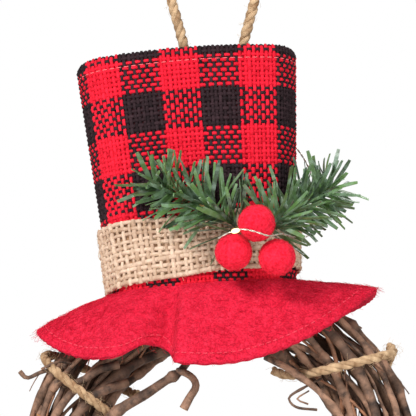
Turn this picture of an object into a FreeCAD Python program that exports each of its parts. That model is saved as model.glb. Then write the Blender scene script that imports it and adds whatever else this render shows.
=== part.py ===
import FreeCAD, Part
import math
import os

import Sketcher

# A hanging snowman of two grapevine rings in a buffalo-check top hat, with a light string.
# Millimetres and degrees. The origin is where the hook touches the inside of the hanging loop.
# +X is the viewer's right, -Y the front and +Z up.

DIMENSIONS = {
    # the two rings, each a torus of twisted vines
    "ring_y": -8.0,
    "head_x": 3.5,
    "head_z": -277.5,
    "head_radius": 75.0,
    "body_radius": 122.0,
    "neck_overlap": 0.6,
    "outer_vine_orbit": 16.3,
    "middle_vine_orbit": 9.8,
    "core_vine_orbit": 3.4,
    "thick_vine": 2.9,
    "thin_vine": 2.1,
    "core_vine": 2.2,
    "vine_sway": 0.13,
    "body_growth": 1.06,
    # jute twine
    "twine_radius": 2.6,
    "twine_gap": 0.9,
    # the hat, whose base centre stands on the head ring
    "hat_x": -4.4,
    "hat_z": -192.2,
    "hat_lean": 6.0,
    "hat_roll": 4.5,
    "crown_height": 110.0,
    "crown_base_width": 43.0,
    "crown_base_depth": 22.0,
    "crown_top_width": 52.0,
    "crown_top_depth": 25.0,
    "oval_end_share": 0.8,
    "fabric": 1.5,
    "liner": 1.1,
    "panel_drop": 4.0,
    "panel_thickness": 1.6,
    "eyelet_radius": 3.7,
    "layer_gap": 0.2,
    "band_low": 0.8,
    "band_height": 28.5,
    "band_thickness": 1.4,
    # the felt brim
    "felt": 1.3,
    "brim_inset": 0.8,
    "brim_width": 80.0,
    "brim_front": 34.0,
    "brim_back": 50.0,
    "brim_side_drop": 11.0,
    "brim_front_drop": 32.4,
    "brim_back_drop": 8.0,
    "brim_tilt": 0.035,
    # greenery and felt balls
    "stem_radius": 0.9,
    "needle_width": 1.6,
    "needle_thickness": 0.4,
    "needle_length": 23.0,
    "needle_pitch": 1.5,
    "ball_radius": 8.5,
    "ball_stem_radius": 0.55,
    # the light string and its battery case
    "wire_radius": 0.45,
    "lamp_radius": 1.5,
    "lamp_length": 2.5,
    "case_height": 55.0,
    "case_gap": 2.4,
    "case_length": 76.0,
    "case_width": 34.0,
    "case_depth": 19.5,
    "case_wall": 1.6,
    "case_corner": 2.0,
    "lip_depth": 1.2,
    "cell_bay_length": 58.0,
    "bay_width": 29.6,
    "cover_width": 32.0,
    "cover_thickness": 1.6,
    "cover_play": 0.2,
    "grip_ridges": 4.0,
    "cell_radius": 7.25,
    "cell_length": 49.5,
    "nub_radius": 2.7,
    "nub_length": 1.0,
    "spring_radius": 3.4,
    "spring_wire": 0.35,
    "spring_length": 4.6,
    "plate_thickness": 0.4,
    "board_thickness": 1.6,
    "slot_length": 8.0,
    "slot_height": 3.6,
    "knob_length": 3.0,
    "pad_width": 24.0,
    "pad_height": 22.0,
    # the scarf
    "scarf_width": 62.0,
    "scarf_depth": 30.0,
    "scarf_height": 30.0,
    "scarf_thickness": 4.5,
    "tail_length": 112.0,
    "tail_width": 33.0,
}

HEAD_VINES = 11
BODY_VINES = 12
MIDDLE_VINES = 8
CORE_VINES = 4
POINTS_PER_TURN = 24
END_GAP = 0.02
SPRING_TURNS = 3
POINTS_PER_SPRING_TURN = 12
BRIM_POINTS = 48
BRIM_SHARES = (0.0, 0.15, 0.35, 0.6, 0.8, 1.0)
GOLDEN_ANGLE = math.radians(137.5)

# The loop's centreline, up one strand, over the hook and down the other.
LOOP_ROUTE = [
    (-10.6, 0.6, -97.0), (-12.3, 0.2, -83.5), (-16.3, -0.5, -67.5), (-20.9, -0.4, -51.0),
    (-23.9, 0.2, -34.8), (-22.4, 0.5, -18.5), (-15.8, 0.2, -5.0), (-5.6, 0.0, 2.6),
    (5.9, 0.0, 2.6), (16.0, -0.2, -5.3), (22.3, -0.5, -19.0), (23.5, -0.2, -35.2),
    (20.5, 0.4, -51.4), (16.1, 0.5, -67.2), (12.5, -0.2, -83.0), (10.9, 0.4, -97.0),
]
# Angles on its ring where a wrap crosses the hole side and the outer side in turn.
TWINE_BOW = 10.0
HEAD_WRAP_RIGHT = (62, 36, 21, 2, -18, -38, -58)
HEAD_WRAP_LEFT = (236, 221, 198, 182, 156, 147, 137)
BODY_WRAP = (58, 44, 22, 6, -16, -34, -55, -74, -97, -117, -140, -158, -180, -197, -218, -236)
# Stems, balls and wire in the hat's own axes.
LEFT_STEM = [(20.5, -29.5, 16.5), (13.5, -29.6, 24.6), (3.4, -29.2, 31.6),
             (-8.2, -28.2, 38.2), (-20.5, -27.0, 45.8)]
RIGHT_STEM = [(29.5, -29.8, 17.0), (37.5, -28.8, 23.6), (47.0, -25.2, 29.4),
              (57.2, -20.4, 34.2), (67.0, -15.6, 40.0)]
BALLS = {
    "felt_ball_left": (14.5, -37.0, 7.7),
    "felt_ball_right": (34.2, -37.0, 3.5),
    "felt_ball_top": (26.0, -43.6, 18.8),
}
# Where each ball's wire stem bends behind it, and where it ends on the band.
BALL_STEMS = {
    "felt_ball_left": ((17.0, -27.4, 11.2), (19.4, -26.8, 13.2)),
    "felt_ball_right": ((32.2, -27.2, 7.6), (29.6, -26.6, 11.0)),
    "felt_ball_top": ((25.4, -31.4, 17.6), (24.4, -27.2, 15.2)),
}
LAMP_SPOTS = (1, 6, 9)
WIRE_ROUTE = [
    (8.0, -46.4, 12.6), (13.0, -49.0, 14.2), (19.0, -51.0, 14.8), (25.0, -53.4, 12.6),
    (31.0, -50.6, 10.8), (37.0, -43.8, 12.8), (42.6, -35.0, 13.0), (48.0, -25.4, 14.6),
    (52.6, -14.4, 19.4), (55.6, -2.0, 28.4), (57.0, 10.6, 41.0), (55.4, 21.6, 56.0),
    (50.4, 29.6, 70.0), (42.6, 34.2, 80.0), (34.4, 35.8, 82.6), (30.2, 35.5, 78.4),
    (30.0, 35.4, 72.8),
]

doc = FreeCAD.newDocument("grapevine_snowman")
sheet = doc.addObject("Spreadsheet::Sheet", "Sizes")
subparts = []


def fill_sheet():
    """Write every driving dimension into its own named cell."""
    for row, (alias, number) in enumerate(DIMENSIONS.items(), start=1):
        sheet.set(f"A{row}", alias)
        sheet.set(f"B{row}", str(number))
        sheet.setAlias(f"B{row}", alias)
    doc.recompute()


def size(alias):
    """The number in one named cell."""
    return float(sheet.get(alias))


def value(expression):
    """The number that an expression on the sheet comes to."""
    return float(sheet.evalExpression(expression))


def vector(point):
    return FreeCAD.Vector(*point)


def keep(obj, label, place=None):
    """Name a finished sub-part, place it and list it for export."""
    obj.Label = label
    if place is not None:
        obj.Placement = place
    subparts.append(obj)
    return obj


def feature(label, shape, place=None):
    """A sub-part whose shape is worked out here."""
    obj = doc.addObject("Part::Feature", label)
    obj.Shape = shape
    return keep(obj, label, place)


def bind(obj, **expressions):
    """Bind properties of an object to expressions on the sheet."""
    for name, expression in expressions.items():
        obj.setExpression(name, expression)


# ---------------------------------------------------------------- frames


def hat_frame():
    """The hat's axes: leaning back and rolled towards the viewer's left."""
    roll = FreeCAD.Rotation(FreeCAD.Vector(0, 1, 0), -size("hat_roll"))
    lean = FreeCAD.Rotation(FreeCAD.Vector(1, 0, 0), -size("hat_lean"))
    base = FreeCAD.Vector(size("hat_x"), size("ring_y"), size("hat_z"))
    return FreeCAD.Placement(base, roll.multiply(lean))


def case_frame():
    """The battery case's axes on the crown's back: X across, Y down, Z away from the crown."""
    slope = (size("crown_top_depth") - size("crown_base_depth")) / size("crown_height")
    depth = size("crown_base_depth") + slope * size("case_height") + size("case_gap")
    turn = FreeCAD.Rotation(FreeCAD.Vector(1, 0, 0), -90 - math.degrees(math.atan(slope)))
    spot = FreeCAD.Vector(0, depth, size("case_height"))
    return hat_frame().multiply(FreeCAD.Placement(spot, turn))


def ring_frame(centre_z):
    return FreeCAD.Placement(
        FreeCAD.Vector(size("head_x"), size("ring_y"), centre_z), FreeCAD.Rotation())


def tube_reach(growth=1.0):
    """How far a ring's outer vines reach from the middle of its tube."""
    return growth * (size("outer_vine_orbit") + size("thick_vine"))


def body_z():
    """The height of the body ring's centre, one tube below the other at the neck."""
    head_reach = size("head_radius") + tube_reach()
    body_reach = size("body_radius") + tube_reach(size("body_growth"))
    return size("head_z") - head_reach - body_reach - size("neck_overlap")


# ---------------------------------------------------------------- sketches


def new_sketch(body, name, height="0"):
    """A sketch on its body's XY plane, raised to a height on the sheet."""
    plane = next(f for f in body.Origin.OriginFeatures if f.Role == "XY_Plane")
    sketch = body.newObject("Sketcher::SketchObject", name)
    sketch.AttachmentSupport = [(plane, "")]
    sketch.MapMode = "FlatFace"
    sketch.setExpression("AttachmentOffset.Base.z", height)
    return sketch


def rectangle(body, name, centre_x, centre_y, height, width, depth):
    """A rectangle about a centre, all its sizes expressions on the sheet."""
    sketch = new_sketch(body, name, height)
    sketch.setExpression("AttachmentOffset.Base.x", centre_x)
    sketch.setExpression("AttachmentOffset.Base.y", centre_y)
    x = value(width) / 2
    y = value(depth) / 2
    corners = [FreeCAD.Vector(*corner, 0) for corner in ((-x, -y), (x, -y), (x, y), (-x, y))]
    for start, end in zip(corners, corners[1:] + corners[:1]):
        sketch.addGeometry(Part.LineSegment(start, end))
    for line in range(4):
        sketch.addConstraint(Sketcher.Constraint("Coincident", line, 2, (line + 1) % 4, 1))
    for line in (0, 2):
        sketch.addConstraint(Sketcher.Constraint("Horizontal", line))
        sketch.addConstraint(Sketcher.Constraint("Vertical", line + 1))
    sketch.addConstraint(Sketcher.Constraint("Symmetric", 0, 1, 1, 2, -1, 1))
    across = sketch.addConstraint(Sketcher.Constraint("DistanceX", 0, 1, 0, 2, 2 * x))
    along = sketch.addConstraint(Sketcher.Constraint("DistanceY", 1, 1, 1, 2, 2 * y))
    sketch.setExpression(f"Constraints[{across}]", width)
    sketch.setExpression(f"Constraints[{along}]", depth)
    return sketch


def oval(body, name, height, half_width, half_depth, end_radius):
    """An oval of two end arcs and two long side arcs, tangent all round."""
    reach = f"({half_width} - {end_radius})"
    rise = f"({half_depth} - {end_radius})"
    sag = f"(({reach}^2 - {rise}^2) / (2 * {rise}))"
    sketch = new_sketch(body, name, height)
    r = value(end_radius)
    x = value(reach)
    y = value(sag)
    big = value(half_depth) + y
    turn = math.atan2(y, x)
    normal = FreeCAD.Vector(0, 0, 1)
    arcs = (
        ((x, 0, 0), r, -turn, turn),
        ((0, -y, 0), big, turn, math.pi - turn),
        ((-x, 0, 0), r, math.pi - turn, math.pi + turn),
        ((0, y, 0), big, math.pi + turn, 2 * math.pi - turn),
    )
    for centre, radius, start, end in arcs:
        circle = Part.Circle(vector(centre), normal, radius)
        sketch.addGeometry(Part.ArcOfCircle(circle, start, end))
    for arc in range(4):
        sketch.addConstraint(Sketcher.Constraint("Tangent", arc, 2, (arc + 1) % 4, 1))
    for arc, axis in ((0, -1), (1, -2), (2, -1)):
        sketch.addConstraint(Sketcher.Constraint("PointOnObject", arc, 3, axis))
    sketch.addConstraint(Sketcher.Constraint("Equal", 0, 2))
    sketch.addConstraint(Sketcher.Constraint("Equal", 1, 3))
    ends = sketch.addConstraint(Sketcher.Constraint("Radius", 0, r))
    centre = sketch.addConstraint(Sketcher.Constraint("DistanceX", -1, 1, 0, 3, x))
    sides = sketch.addConstraint(Sketcher.Constraint("Radius", 1, big))
    sketch.setExpression(f"Constraints[{ends}]", end_radius)
    sketch.setExpression(f"Constraints[{centre}]", reach)
    sketch.setExpression(f"Constraints[{sides}]", f"{half_depth} + {sag}")
    return sketch


def crown_oval(body, name, height, offset):
    """The crown's outline at a height, grown or shrunk by an offset."""
    share = f"({height}) / Sizes.crown_height"
    sizes = []
    for side in ("width", "depth"):
        low = f"Sizes.crown_base_{side}"
        sizes.append(f"({low} + (Sizes.crown_top_{side} - {low}) * {share} + {offset})")
    end_radius = f"(Sizes.oval_end_share * ({sizes[1]} - ({offset})) + {offset})"
    return oval(body, name, height, sizes[0], sizes[1], end_radius)


def pad(body, sketch, length):
    result = body.newObject("PartDesign::Pad", "Pad")
    result.Profile = sketch
    result.setExpression("Length", length)
    sketch.Visibility = False
    return result


def pocket(body, sketch, length):
    """Cut downwards from a sketch, and make sure that something was cut."""
    doc.recompute()
    before = body.Shape.Volume
    result = body.newObject("PartDesign::Pocket", "Pocket")
    result.Profile = sketch
    result.setExpression("Length", length)
    doc.recompute()
    assert body.Shape.Volume < before, f"{body.Name}: {sketch.Name} cuts nothing"
    return result


def crown_tube(label, low, high, outside, inside):
    """A tapering oval tube that follows the crown between two heights."""
    body = doc.addObject("PartDesign::Body", label)
    skin = body.newObject("PartDesign::AdditiveLoft", "Skin")
    skin.Profile = crown_oval(body, "OuterLow", low, outside)
    skin.Sections = [crown_oval(body, "OuterHigh", high, outside)]
    hollow = body.newObject("PartDesign::SubtractiveLoft", "Hollow")
    hollow.Profile = crown_oval(body, "InnerLow", low, inside)
    hollow.Sections = [crown_oval(body, "InnerHigh", high, inside)]
    return keep(body, label, hat_frame())


# ---------------------------------------------------------------- swept tubes


def rounded(points, share=0.45):
    """Straight runs joined by the largest tangent arcs that fit, with the arcs' radii."""
    edges = []
    radii = []
    previous = points[0]
    for before, corner, after in zip(points, points[1:], points[2:]):
        back = before - corner
        ahead = after - corner
        turn = math.pi - back.getAngle(ahead)
        trim = share * min(back.Length, ahead.Length)
        start = corner + back * (trim / back.Length)
        end = corner + ahead * (trim / ahead.Length)
        radius = trim / math.tan(turn / 2)
        inward = (back / back.Length + ahead / ahead.Length).normalize()
        centre = corner + inward * (radius / math.cos(turn / 2))
        edges.append(Part.LineSegment(previous, start).toShape())
        edges.append(Part.Arc(start, centre - inward * radius, end).toShape())
        previous = end
        radii.append(radius)
    edges.append(Part.LineSegment(previous, points[-1]).toShape())
    return Part.Wire(edges), radii


def tube(points, radius, report=None):
    """A round tube along a route; its volume is compared with section times length."""
    wire, radii = rounded([vector(point) for point in points])
    start = FreeCAD.Vector(*points[0])
    circle = Part.Circle(start, FreeCAD.Vector(*points[1]) - start, radius).toShape()
    solid = wire.makePipeShell([Part.Wire([circle])], True, False)
    expected = math.pi * radius ** 2 * wire.Length
    assert abs(solid.Volume / expected - 1) < 0.02, f"tube volume {solid.Volume} for {expected}"
    if report:
        print(f"{report}: length {wire.Length:.1f}, bend radii {min(radii):.1f} to {max(radii):.1f},"
              f" volume / (section x length) {solid.Volume / expected:.4f}")
    return solid


# ---------------------------------------------------------------- vine rings


def torus_point(radius, orbit, around, tube_angle):
    """A point by its angle round the ring and its angle round the ring's tube."""
    out = radius + orbit * math.cos(tube_angle)
    return (out * math.cos(around), orbit * math.sin(tube_angle), out * math.sin(around))


def vine(radius, orbit, number, count, twist, thickness):
    """One of the vines that follow each other along a single closed winding of the tube.

    The winding passes the ring count - 1 times before it closes, in as many tracks side by
    side, so a vine takes a little under a turn and the cut ends are spread round the ring.
    """
    tracks = count - 1
    steps = int(POINTS_PER_TURN * (tracks / count - END_GAP))
    points = []
    for step in range(steps + 1):
        turns = number * tracks / count + step / POINTS_PER_TURN
        sway = size("vine_sway") * math.sin(2 * math.pi * (3 + 1 / tracks) * turns)
        tube_angle = 2 * math.pi * twist / tracks * turns + sway
        points.append(torus_point(radius, orbit, 2 * math.pi * turns, tube_angle))
    return tube(points, thickness)


def vine_ring(prefix, radius, growth, count, centre_z):
    """A ring's outer vines, a node each, and its hidden middle and core vines as one node."""
    place = ring_frame(centre_z)
    spread = size("thick_vine") - size("thin_vine")
    for number in range(count):
        thickness = growth * (size("thin_vine") + spread * ((number * 0.618) % 1))
        shape = vine(radius, growth * size("outer_vine_orbit"), number, count, count - 2, thickness)
        feature(f"{prefix}_vine_{number + 1}", shape, place)
    inner = []
    for layer, inner_count, twist in (("middle", MIDDLE_VINES, -5), ("core", CORE_VINES, 2)):
        for number in range(inner_count):
            inner.append(vine(radius, growth * size(f"{layer}_vine_orbit"), number, inner_count,
                              twist, growth * size("core_vine")))
    feature(f"{prefix}_core_vines", Part.Compound(inner), place)


def wrap_route(radius, orbit, crossings, bow=0.0):
    """Twine round a ring's tube: inside, front, outside, back, at hand-picked angles.

    The first crossing at the front bows towards the next ones by a number of degrees.
    """
    steps = 8
    points = []
    for index, (this, following) in enumerate(zip(crossings, crossings[1:])):
        for step in range(steps):
            bent = bow * math.sin(math.pi * step / steps) ** 0.7 if index == 0 else 0.0
            around = math.radians(this + (following - this) * step / steps - bent)
            tube_angle = math.pi * (1 + index + step / steps)
            points.append(torus_point(radius, orbit, around, tube_angle))
    return points


def twine_wraps():
    """The jute twine wound round both rings."""
    gap = size("twine_gap") + size("twine_radius")
    growth = size("body_growth")
    wraps = (
        ("head_twine_right", "head_radius", 1.0, size("head_z"), HEAD_WRAP_RIGHT),
        ("head_twine_left", "head_radius", 1.0, size("head_z"), HEAD_WRAP_LEFT),
        ("body_twine", "body_radius", growth, body_z(), BODY_WRAP),
    )
    for label, radius_name, scale, centre_z, crossings in wraps:
        bow = TWINE_BOW if label == "head_twine_right" else 0.0
        route = wrap_route(size(radius_name), tube_reach(scale) + gap, crossings, bow)
        feature(label, tube(route, size("twine_radius"), label), ring_frame(centre_z))


def hat_tie():
    """A strand of twine under the top of the head ring's tube that ties the hat to it."""
    around = math.radians(98)
    orbit = tube_reach() + size("twine_gap") + size("twine_radius")
    points = []
    for step in range(7):
        tube_angle = math.radians(-112 - 20 * step)
        points.append(torus_point(size("head_radius"), orbit, around - 0.03 * step, tube_angle))
    solid = tube(points, size("twine_radius"), "hat_tie")
    feature("hat_tie", solid, ring_frame(size("head_z")))


def neck_lashing():
    """Turns of twine round both tubes, binding the rings together at the neck."""
    turns = 4
    corners = 14
    pitch = 2 * size("twine_radius") + 0.5
    orbit = 2 * size("twine_gap") + size("twine_radius")
    top_orbit = tube_reach() + orbit
    bottom_orbit = tube_reach(size("body_growth")) + orbit
    points = []
    for step in range(turns * corners + 1):
        x = pitch * (step / corners - turns / 2)
        head_middle = size("head_z") - math.sqrt(size("head_radius") ** 2 - x ** 2)
        body_middle = body_z() + math.sqrt(size("body_radius") ** 2 - x ** 2)
        place_in_turn = step % corners
        if place_in_turn < corners / 2:
            angle = math.pi * place_in_turn / (corners / 2 - 1)
            y = -top_orbit * math.cos(angle)
            z = head_middle + top_orbit * math.sin(angle)
        else:
            angle = math.pi * (place_in_turn - corners / 2) / (corners / 2 - 1)
            y = bottom_orbit * math.cos(angle)
            z = body_middle - bottom_orbit * math.sin(angle)
        points.append((size("head_x") + x, size("ring_y") + y, z))
    feature("neck_lashing", tube(points, size("twine_radius"), "neck_lashing"))


# ---------------------------------------------------------------- hanging loop


def loop_at_height(strand, height):
    """The point at a height on the first straight run of a strand."""
    low, high = (vector(point) for point in strand)
    return low + (high - low) * ((height - low.z) / (high.z - low.z))


def hanging_loop():
    """The loop of twine, and the knot that holds each end inside the crown."""
    feature("hanging_loop", tube(LOOP_ROUTE, size("twine_radius"), "hanging_loop"))
    knots = []
    for end in (LOOP_ROUTE[0], LOOP_ROUTE[-1]):
        knot = doc.addObject("Part::Ellipsoid", "Knot")
        bind(knot, Radius1="2 * Sizes.twine_radius", Radius2="2.3 * Sizes.twine_radius",
             Radius3="2.3 * Sizes.twine_radius")
        knot.Placement.Base = vector(end) - FreeCAD.Vector(0, 0, 1.6 * size("twine_radius"))
        knots.append(knot)
    pair = doc.addObject("Part::Compound", "loop_knots")
    pair.Links = knots
    keep(pair, "loop_knots")


# ---------------------------------------------------------------- hat


def crown():
    """Woven crown, its stiff liner and the sunk top panel that the loop goes through."""
    crown_tube("crown_fabric", "0", "Sizes.crown_height", "0", "-Sizes.fabric")
    inset = "-(Sizes.fabric + Sizes.layer_gap)"
    crown_tube("crown_liner", "Sizes.liner", "Sizes.crown_height - Sizes.liner",
               inset, f"{inset} - Sizes.liner")
    body = doc.addObject("PartDesign::Body", "crown_top_panel")
    height = "Sizes.crown_height - Sizes.panel_drop - Sizes.panel_thickness"
    edge = "-(Sizes.fabric + 2 * Sizes.layer_gap + Sizes.liner)"
    sketch = crown_oval(body, "Panel", height, edge)
    frame = hat_frame()
    panel_height = frame.multVec(FreeCAD.Vector(0, 0, value(height))).z
    for strand in (LOOP_ROUTE[:2], LOOP_ROUTE[:-3:-1]):
        spot = frame.inverse().multVec(loop_at_height(strand, panel_height))
        eyelet = Part.Circle(FreeCAD.Vector(spot.x, spot.y, 0), FreeCAD.Vector(0, 0, 1),
                             size("eyelet_radius"))
        hole = sketch.addGeometry(eyelet)
        radius = sketch.addConstraint(Sketcher.Constraint("Radius", hole, size("eyelet_radius")))
        sketch.setExpression(f"Constraints[{radius}]", "Sizes.eyelet_radius")
    pad(body, sketch, "Sizes.panel_thickness")
    keep(body, "crown_top_panel", frame)


def hat_band():
    """The burlap ribbon round the foot of the crown."""
    crown_tube("hat_band", "Sizes.band_low", "Sizes.band_low + Sizes.band_height",
               "(Sizes.layer_gap + Sizes.band_thickness)", "Sizes.layer_gap")


def crown_side(x, height):
    """Half the crown's depth at a place across it, or 0 beyond its ends."""
    share = height / size("crown_height")
    width, depth = (
        size(f"crown_base_{side}")
        + (size(f"crown_top_{side}") - size(f"crown_base_{side}")) * share
        for side in ("width", "depth"))
    return oval_depth(x, width, depth, size("oval_end_share") * depth)


def oval_depth(x, width, depth, end_radius):
    """Half the depth of an end-and-side-arc oval at a place across it."""
    reach = width - end_radius
    rise = depth - end_radius
    sag = (reach ** 2 - rise ** 2) / (2 * rise)
    big = depth + sag
    join = reach + end_radius * math.cos(math.atan2(sag, reach))
    if abs(x) >= width:
        return 0.0
    if abs(x) > join:
        return math.sqrt(max(end_radius ** 2 - (abs(x) - reach) ** 2, 0))
    return math.sqrt(big ** 2 - x ** 2) - sag


def brim_point(angle, share):
    """The brim's upper face: share 0 is under the crown's foot and 1 is the hem."""
    width = size("crown_base_width") - size("brim_inset")
    depth = size("crown_base_depth") - size("brim_inset")
    end_radius = size("oval_end_share") * size("crown_base_depth") - size("brim_inset")
    across = math.cos(angle)
    side = math.sin(angle)
    foot = FreeCAD.Vector(width * across,
                          math.copysign(oval_depth(width * across, width, depth, end_radius), side),
                          -size("layer_gap"))
    half = "back" if side > 0 else "front"
    reach = size(f"brim_{half}")
    fall = size(f"brim_{half}_drop") * abs(side) ** (1.3 + 0.4 * across)
    hem_z = size("brim_tilt") * size("brim_width") * across - size("brim_side_drop") - fall
    out = share ** 0.8
    return FreeCAD.Vector(
        foot.x + (size("brim_width") * across - foot.x) * out,
        foot.y + (reach * side - foot.y) * out,
        foot.z + (hem_z - foot.z) * share ** 1.35)


def brim_curve(share, below):
    """A closed curve round the brim, sunk below its upper face."""
    nudge = 0.004
    points = []
    for step in range(BRIM_POINTS):
        angle = 2 * math.pi * (step + 0.5) / BRIM_POINTS
        near = min(max(share, nudge), 1 - nudge)
        along = brim_point(angle + nudge, near) - brim_point(angle - nudge, near)
        outward = brim_point(angle, near + nudge) - brim_point(angle, near - nudge)
        normal = outward.cross(along).normalize()
        points.append(brim_point(angle, share) - normal * below)
    curve = Part.BSplineCurve()
    curve.interpolate(Points=points, PeriodicFlag=True)
    return Part.Wire([curve.toShape()])


def brim_layer(label, top):
    """One felt layer, its upper face a given depth below the brim's."""
    bottom = top + size("felt")
    curves = [brim_curve(share, top) for share in BRIM_SHARES]
    curves += [brim_curve(share, bottom) for share in reversed(BRIM_SHARES)]
    curves.append(curves[0])
    faces = [Part.makeRuledSurface(low, high) for low, high in zip(curves, curves[1:])]
    shell = Part.makeShell([face for group in faces for face in group.Faces])
    shell.sewShape()
    solid = Part.makeSolid(shell)
    if solid.Volume < 0:
        solid.reverse()
    feature(label, solid, hat_frame())


# ---------------------------------------------------------------- greenery and balls


def needle(root, direction, length):
    """A flat strip of a needle from its root, lying across its stem."""
    strip = Part.makeBox(length, size("needle_width"), size("needle_thickness"),
                         FreeCAD.Vector(0, -size("needle_width") / 2, -size("needle_thickness") / 2))
    strip.Placement = FreeCAD.Placement(
        root, FreeCAD.Rotation(FreeCAD.Vector(1, 0, 0), direction))
    return strip


def needle_is_clear(root, tip):
    """Whether a needle stays off the crown, the band, the balls and the wire."""
    margin = 2.2
    for step in range(1, 9):
        point = root + (tip - root) * (step / 8)
        if point.y > -crown_side(point.x, point.z) - margin - size("band_thickness"):
            if abs(point.x) < size("crown_top_width") + margin:
                return False
        for ball in BALLS.values():
            if (point - vector(ball)).Length < size("ball_radius") + margin:
                return False
        for start, end in zip(WIRE_ROUTE, WIRE_ROUTE[1:]):
            run = Part.LineSegment(vector(start), vector(end)).toShape()
            if run.distToShape(Part.Vertex(point))[0] < margin:
                return False
    return True


def sprig(label, stem):
    """A wire stem with flat needles all along it, fused into one piece."""
    core = tube(stem, size("stem_radius"), label)
    wire, _ = rounded([vector(point) for point in stem])
    count = int(wire.Length / size("needle_pitch"))
    needles = []
    for index, root in enumerate(wire.discretize(Number=count)[4:-1], start=4):
        ahead = wire.discretize(Number=count)[index + 1] - root
        ahead.normalize()
        flat = FreeCAD.Vector(-ahead.z, 0, ahead.x).normalize()
        turn = index * GOLDEN_ANGLE
        sideways = flat * math.cos(turn) + FreeCAD.Vector(0, -0.45, 0) * (1 + math.sin(turn))
        direction = (ahead * 0.9 + sideways.normalize()).normalize()
        length = size("needle_length") * (0.8 + 0.3 * math.sin(index * 1.7) ** 2)
        if needle_is_clear(root, root + direction * length):
            needles.append(needle(root, direction, length))
    feature(label, core.multiFuse(needles), hat_frame())


def balls():
    """Three felt balls; the top one has two nicks where its stem wires bite."""
    for label, centre in BALLS.items():
        ball = doc.addObject("Part::Sphere", "Ball")
        bind(ball, Radius="Sizes.ball_radius")
        ball.Placement.Base = vector(centre)
        if label == "felt_ball_top":
            nick = doc.addObject("Part::Torus", "Nick")
            bind(nick, Radius1="1.06 * Sizes.ball_radius", Radius2="0.12 * Sizes.ball_radius")
            nick.Placement = FreeCAD.Placement(
                vector(centre), FreeCAD.Rotation(FreeCAD.Vector(1, 0.4, 0), 62))
            cut = doc.addObject("Part::Cut", "NickedBall")
            cut.Base = ball
            cut.Tool = nick
            ball = cut
        keep(ball, label, hat_frame().multiply(ball.Placement))
    stems = []
    for label, (bend, end) in BALL_STEMS.items():
        outward = vector(bend) - vector(BALLS[label])
        start = vector(BALLS[label]) + outward.normalize() * (size("ball_radius") + 0.4)
        stems.append(tube([tuple(start), bend, end], size("ball_stem_radius")))
    feature("ball_stems", Part.Compound(stems), hat_frame())


# ---------------------------------------------------------------- light string


def light_string():
    """The thin wire from the case round the crown to the balls, and the lamps on it."""
    feature("led_wire", tube(WIRE_ROUTE, size("wire_radius"), "led_wire"), hat_frame())
    lamps = []
    for spot in LAMP_SPOTS:
        here, ahead = vector(WIRE_ROUTE[spot]), vector(WIRE_ROUTE[spot + 1])
        lamp = doc.addObject("Part::Ellipsoid", "Lamp")
        bind(lamp, Radius1="Sizes.lamp_length", Radius2="Sizes.lamp_radius",
             Radius3="Sizes.lamp_radius")
        lamp.Placement = FreeCAD.Placement(
            (here + ahead) / 2, FreeCAD.Rotation(FreeCAD.Vector(0, 0, 1), ahead - here))
        lamps.append(lamp)
    group = doc.addObject("Part::Compound", "led_lamps")
    group.Links = lamps
    keep(group, "led_lamps", hat_frame())


def upright_edges(shape):
    """The names of a block's four upright corner edges."""
    return [f"Edge{number}" for number, edge in enumerate(shape.Edges, start=1)
            if abs(edge.tangentAt(edge.FirstParameter).z) > 0.99]


def battery_case():
    """A tray for two cells and a timer board, with a grooved lip for its sliding cover."""
    body = doc.addObject("PartDesign::Body", "battery_case")
    block = pad(body, rectangle(body, "Block", "0", "0", "0", "Sizes.case_length",
                                "Sizes.case_width"), "Sizes.case_depth")
    doc.recompute()
    corners = body.newObject("PartDesign::Fillet", "Corners")
    corners.Base = (block, upright_edges(block.Shape))
    corners.setExpression("Radius", "Sizes.case_corner")
    bay_depth = "Sizes.case_depth - Sizes.case_wall"
    bay_start = "(-Sizes.case_length / 2 + Sizes.case_wall)"
    pocket(body, rectangle(body, "CellBay", f"{bay_start} + Sizes.cell_bay_length / 2", "0",
                           "Sizes.case_depth", "Sizes.cell_bay_length", "Sizes.bay_width"),
           bay_depth)
    board_start = f"({bay_start} + Sizes.cell_bay_length + Sizes.case_wall)"
    board_end = "(Sizes.case_length / 2 - Sizes.case_wall)"
    pocket(body, rectangle(body, "BoardBay", f"({board_start} + {board_end}) / 2", "0",
                           "Sizes.case_depth", f"{board_end} - {board_start}", "Sizes.bay_width"),
           bay_depth)
    groove_width = "Sizes.cover_width + 2 * Sizes.cover_play"
    groove_depth = "Sizes.cover_thickness + 2 * Sizes.cover_play"
    pocket(body, rectangle(body, "CoverGroove", "Sizes.case_wall", "0",
                           "Sizes.case_depth - Sizes.lip_depth", "Sizes.case_length", groove_width),
           groove_depth)
    pocket(body, rectangle(body, "CoverMouth", "Sizes.case_wall", "0", "Sizes.case_depth",
                           "Sizes.case_length", "Sizes.bay_width"), "Sizes.lip_depth + 0.1")
    wall_middle = "(Sizes.case_width + Sizes.bay_width) / 4"
    pocket(body, rectangle(body, "SwitchSlot", f"{board_start} + Sizes.slot_length / 2 + 2.8",
                           wall_middle, "Sizes.case_depth / 2 + Sizes.slot_height / 2",
                           "Sizes.slot_length", "3 * Sizes.case_wall"), "Sizes.slot_height")
    pocket(body, rectangle(body, "WireHole", "30", f"-({wall_middle})",
                           "Sizes.case_depth / 2 + 4 * Sizes.wire_radius",
                           "5 * Sizes.wire_radius", "3 * Sizes.case_wall"),
           "5 * Sizes.wire_radius")
    keep(body, "battery_case", case_frame())


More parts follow.
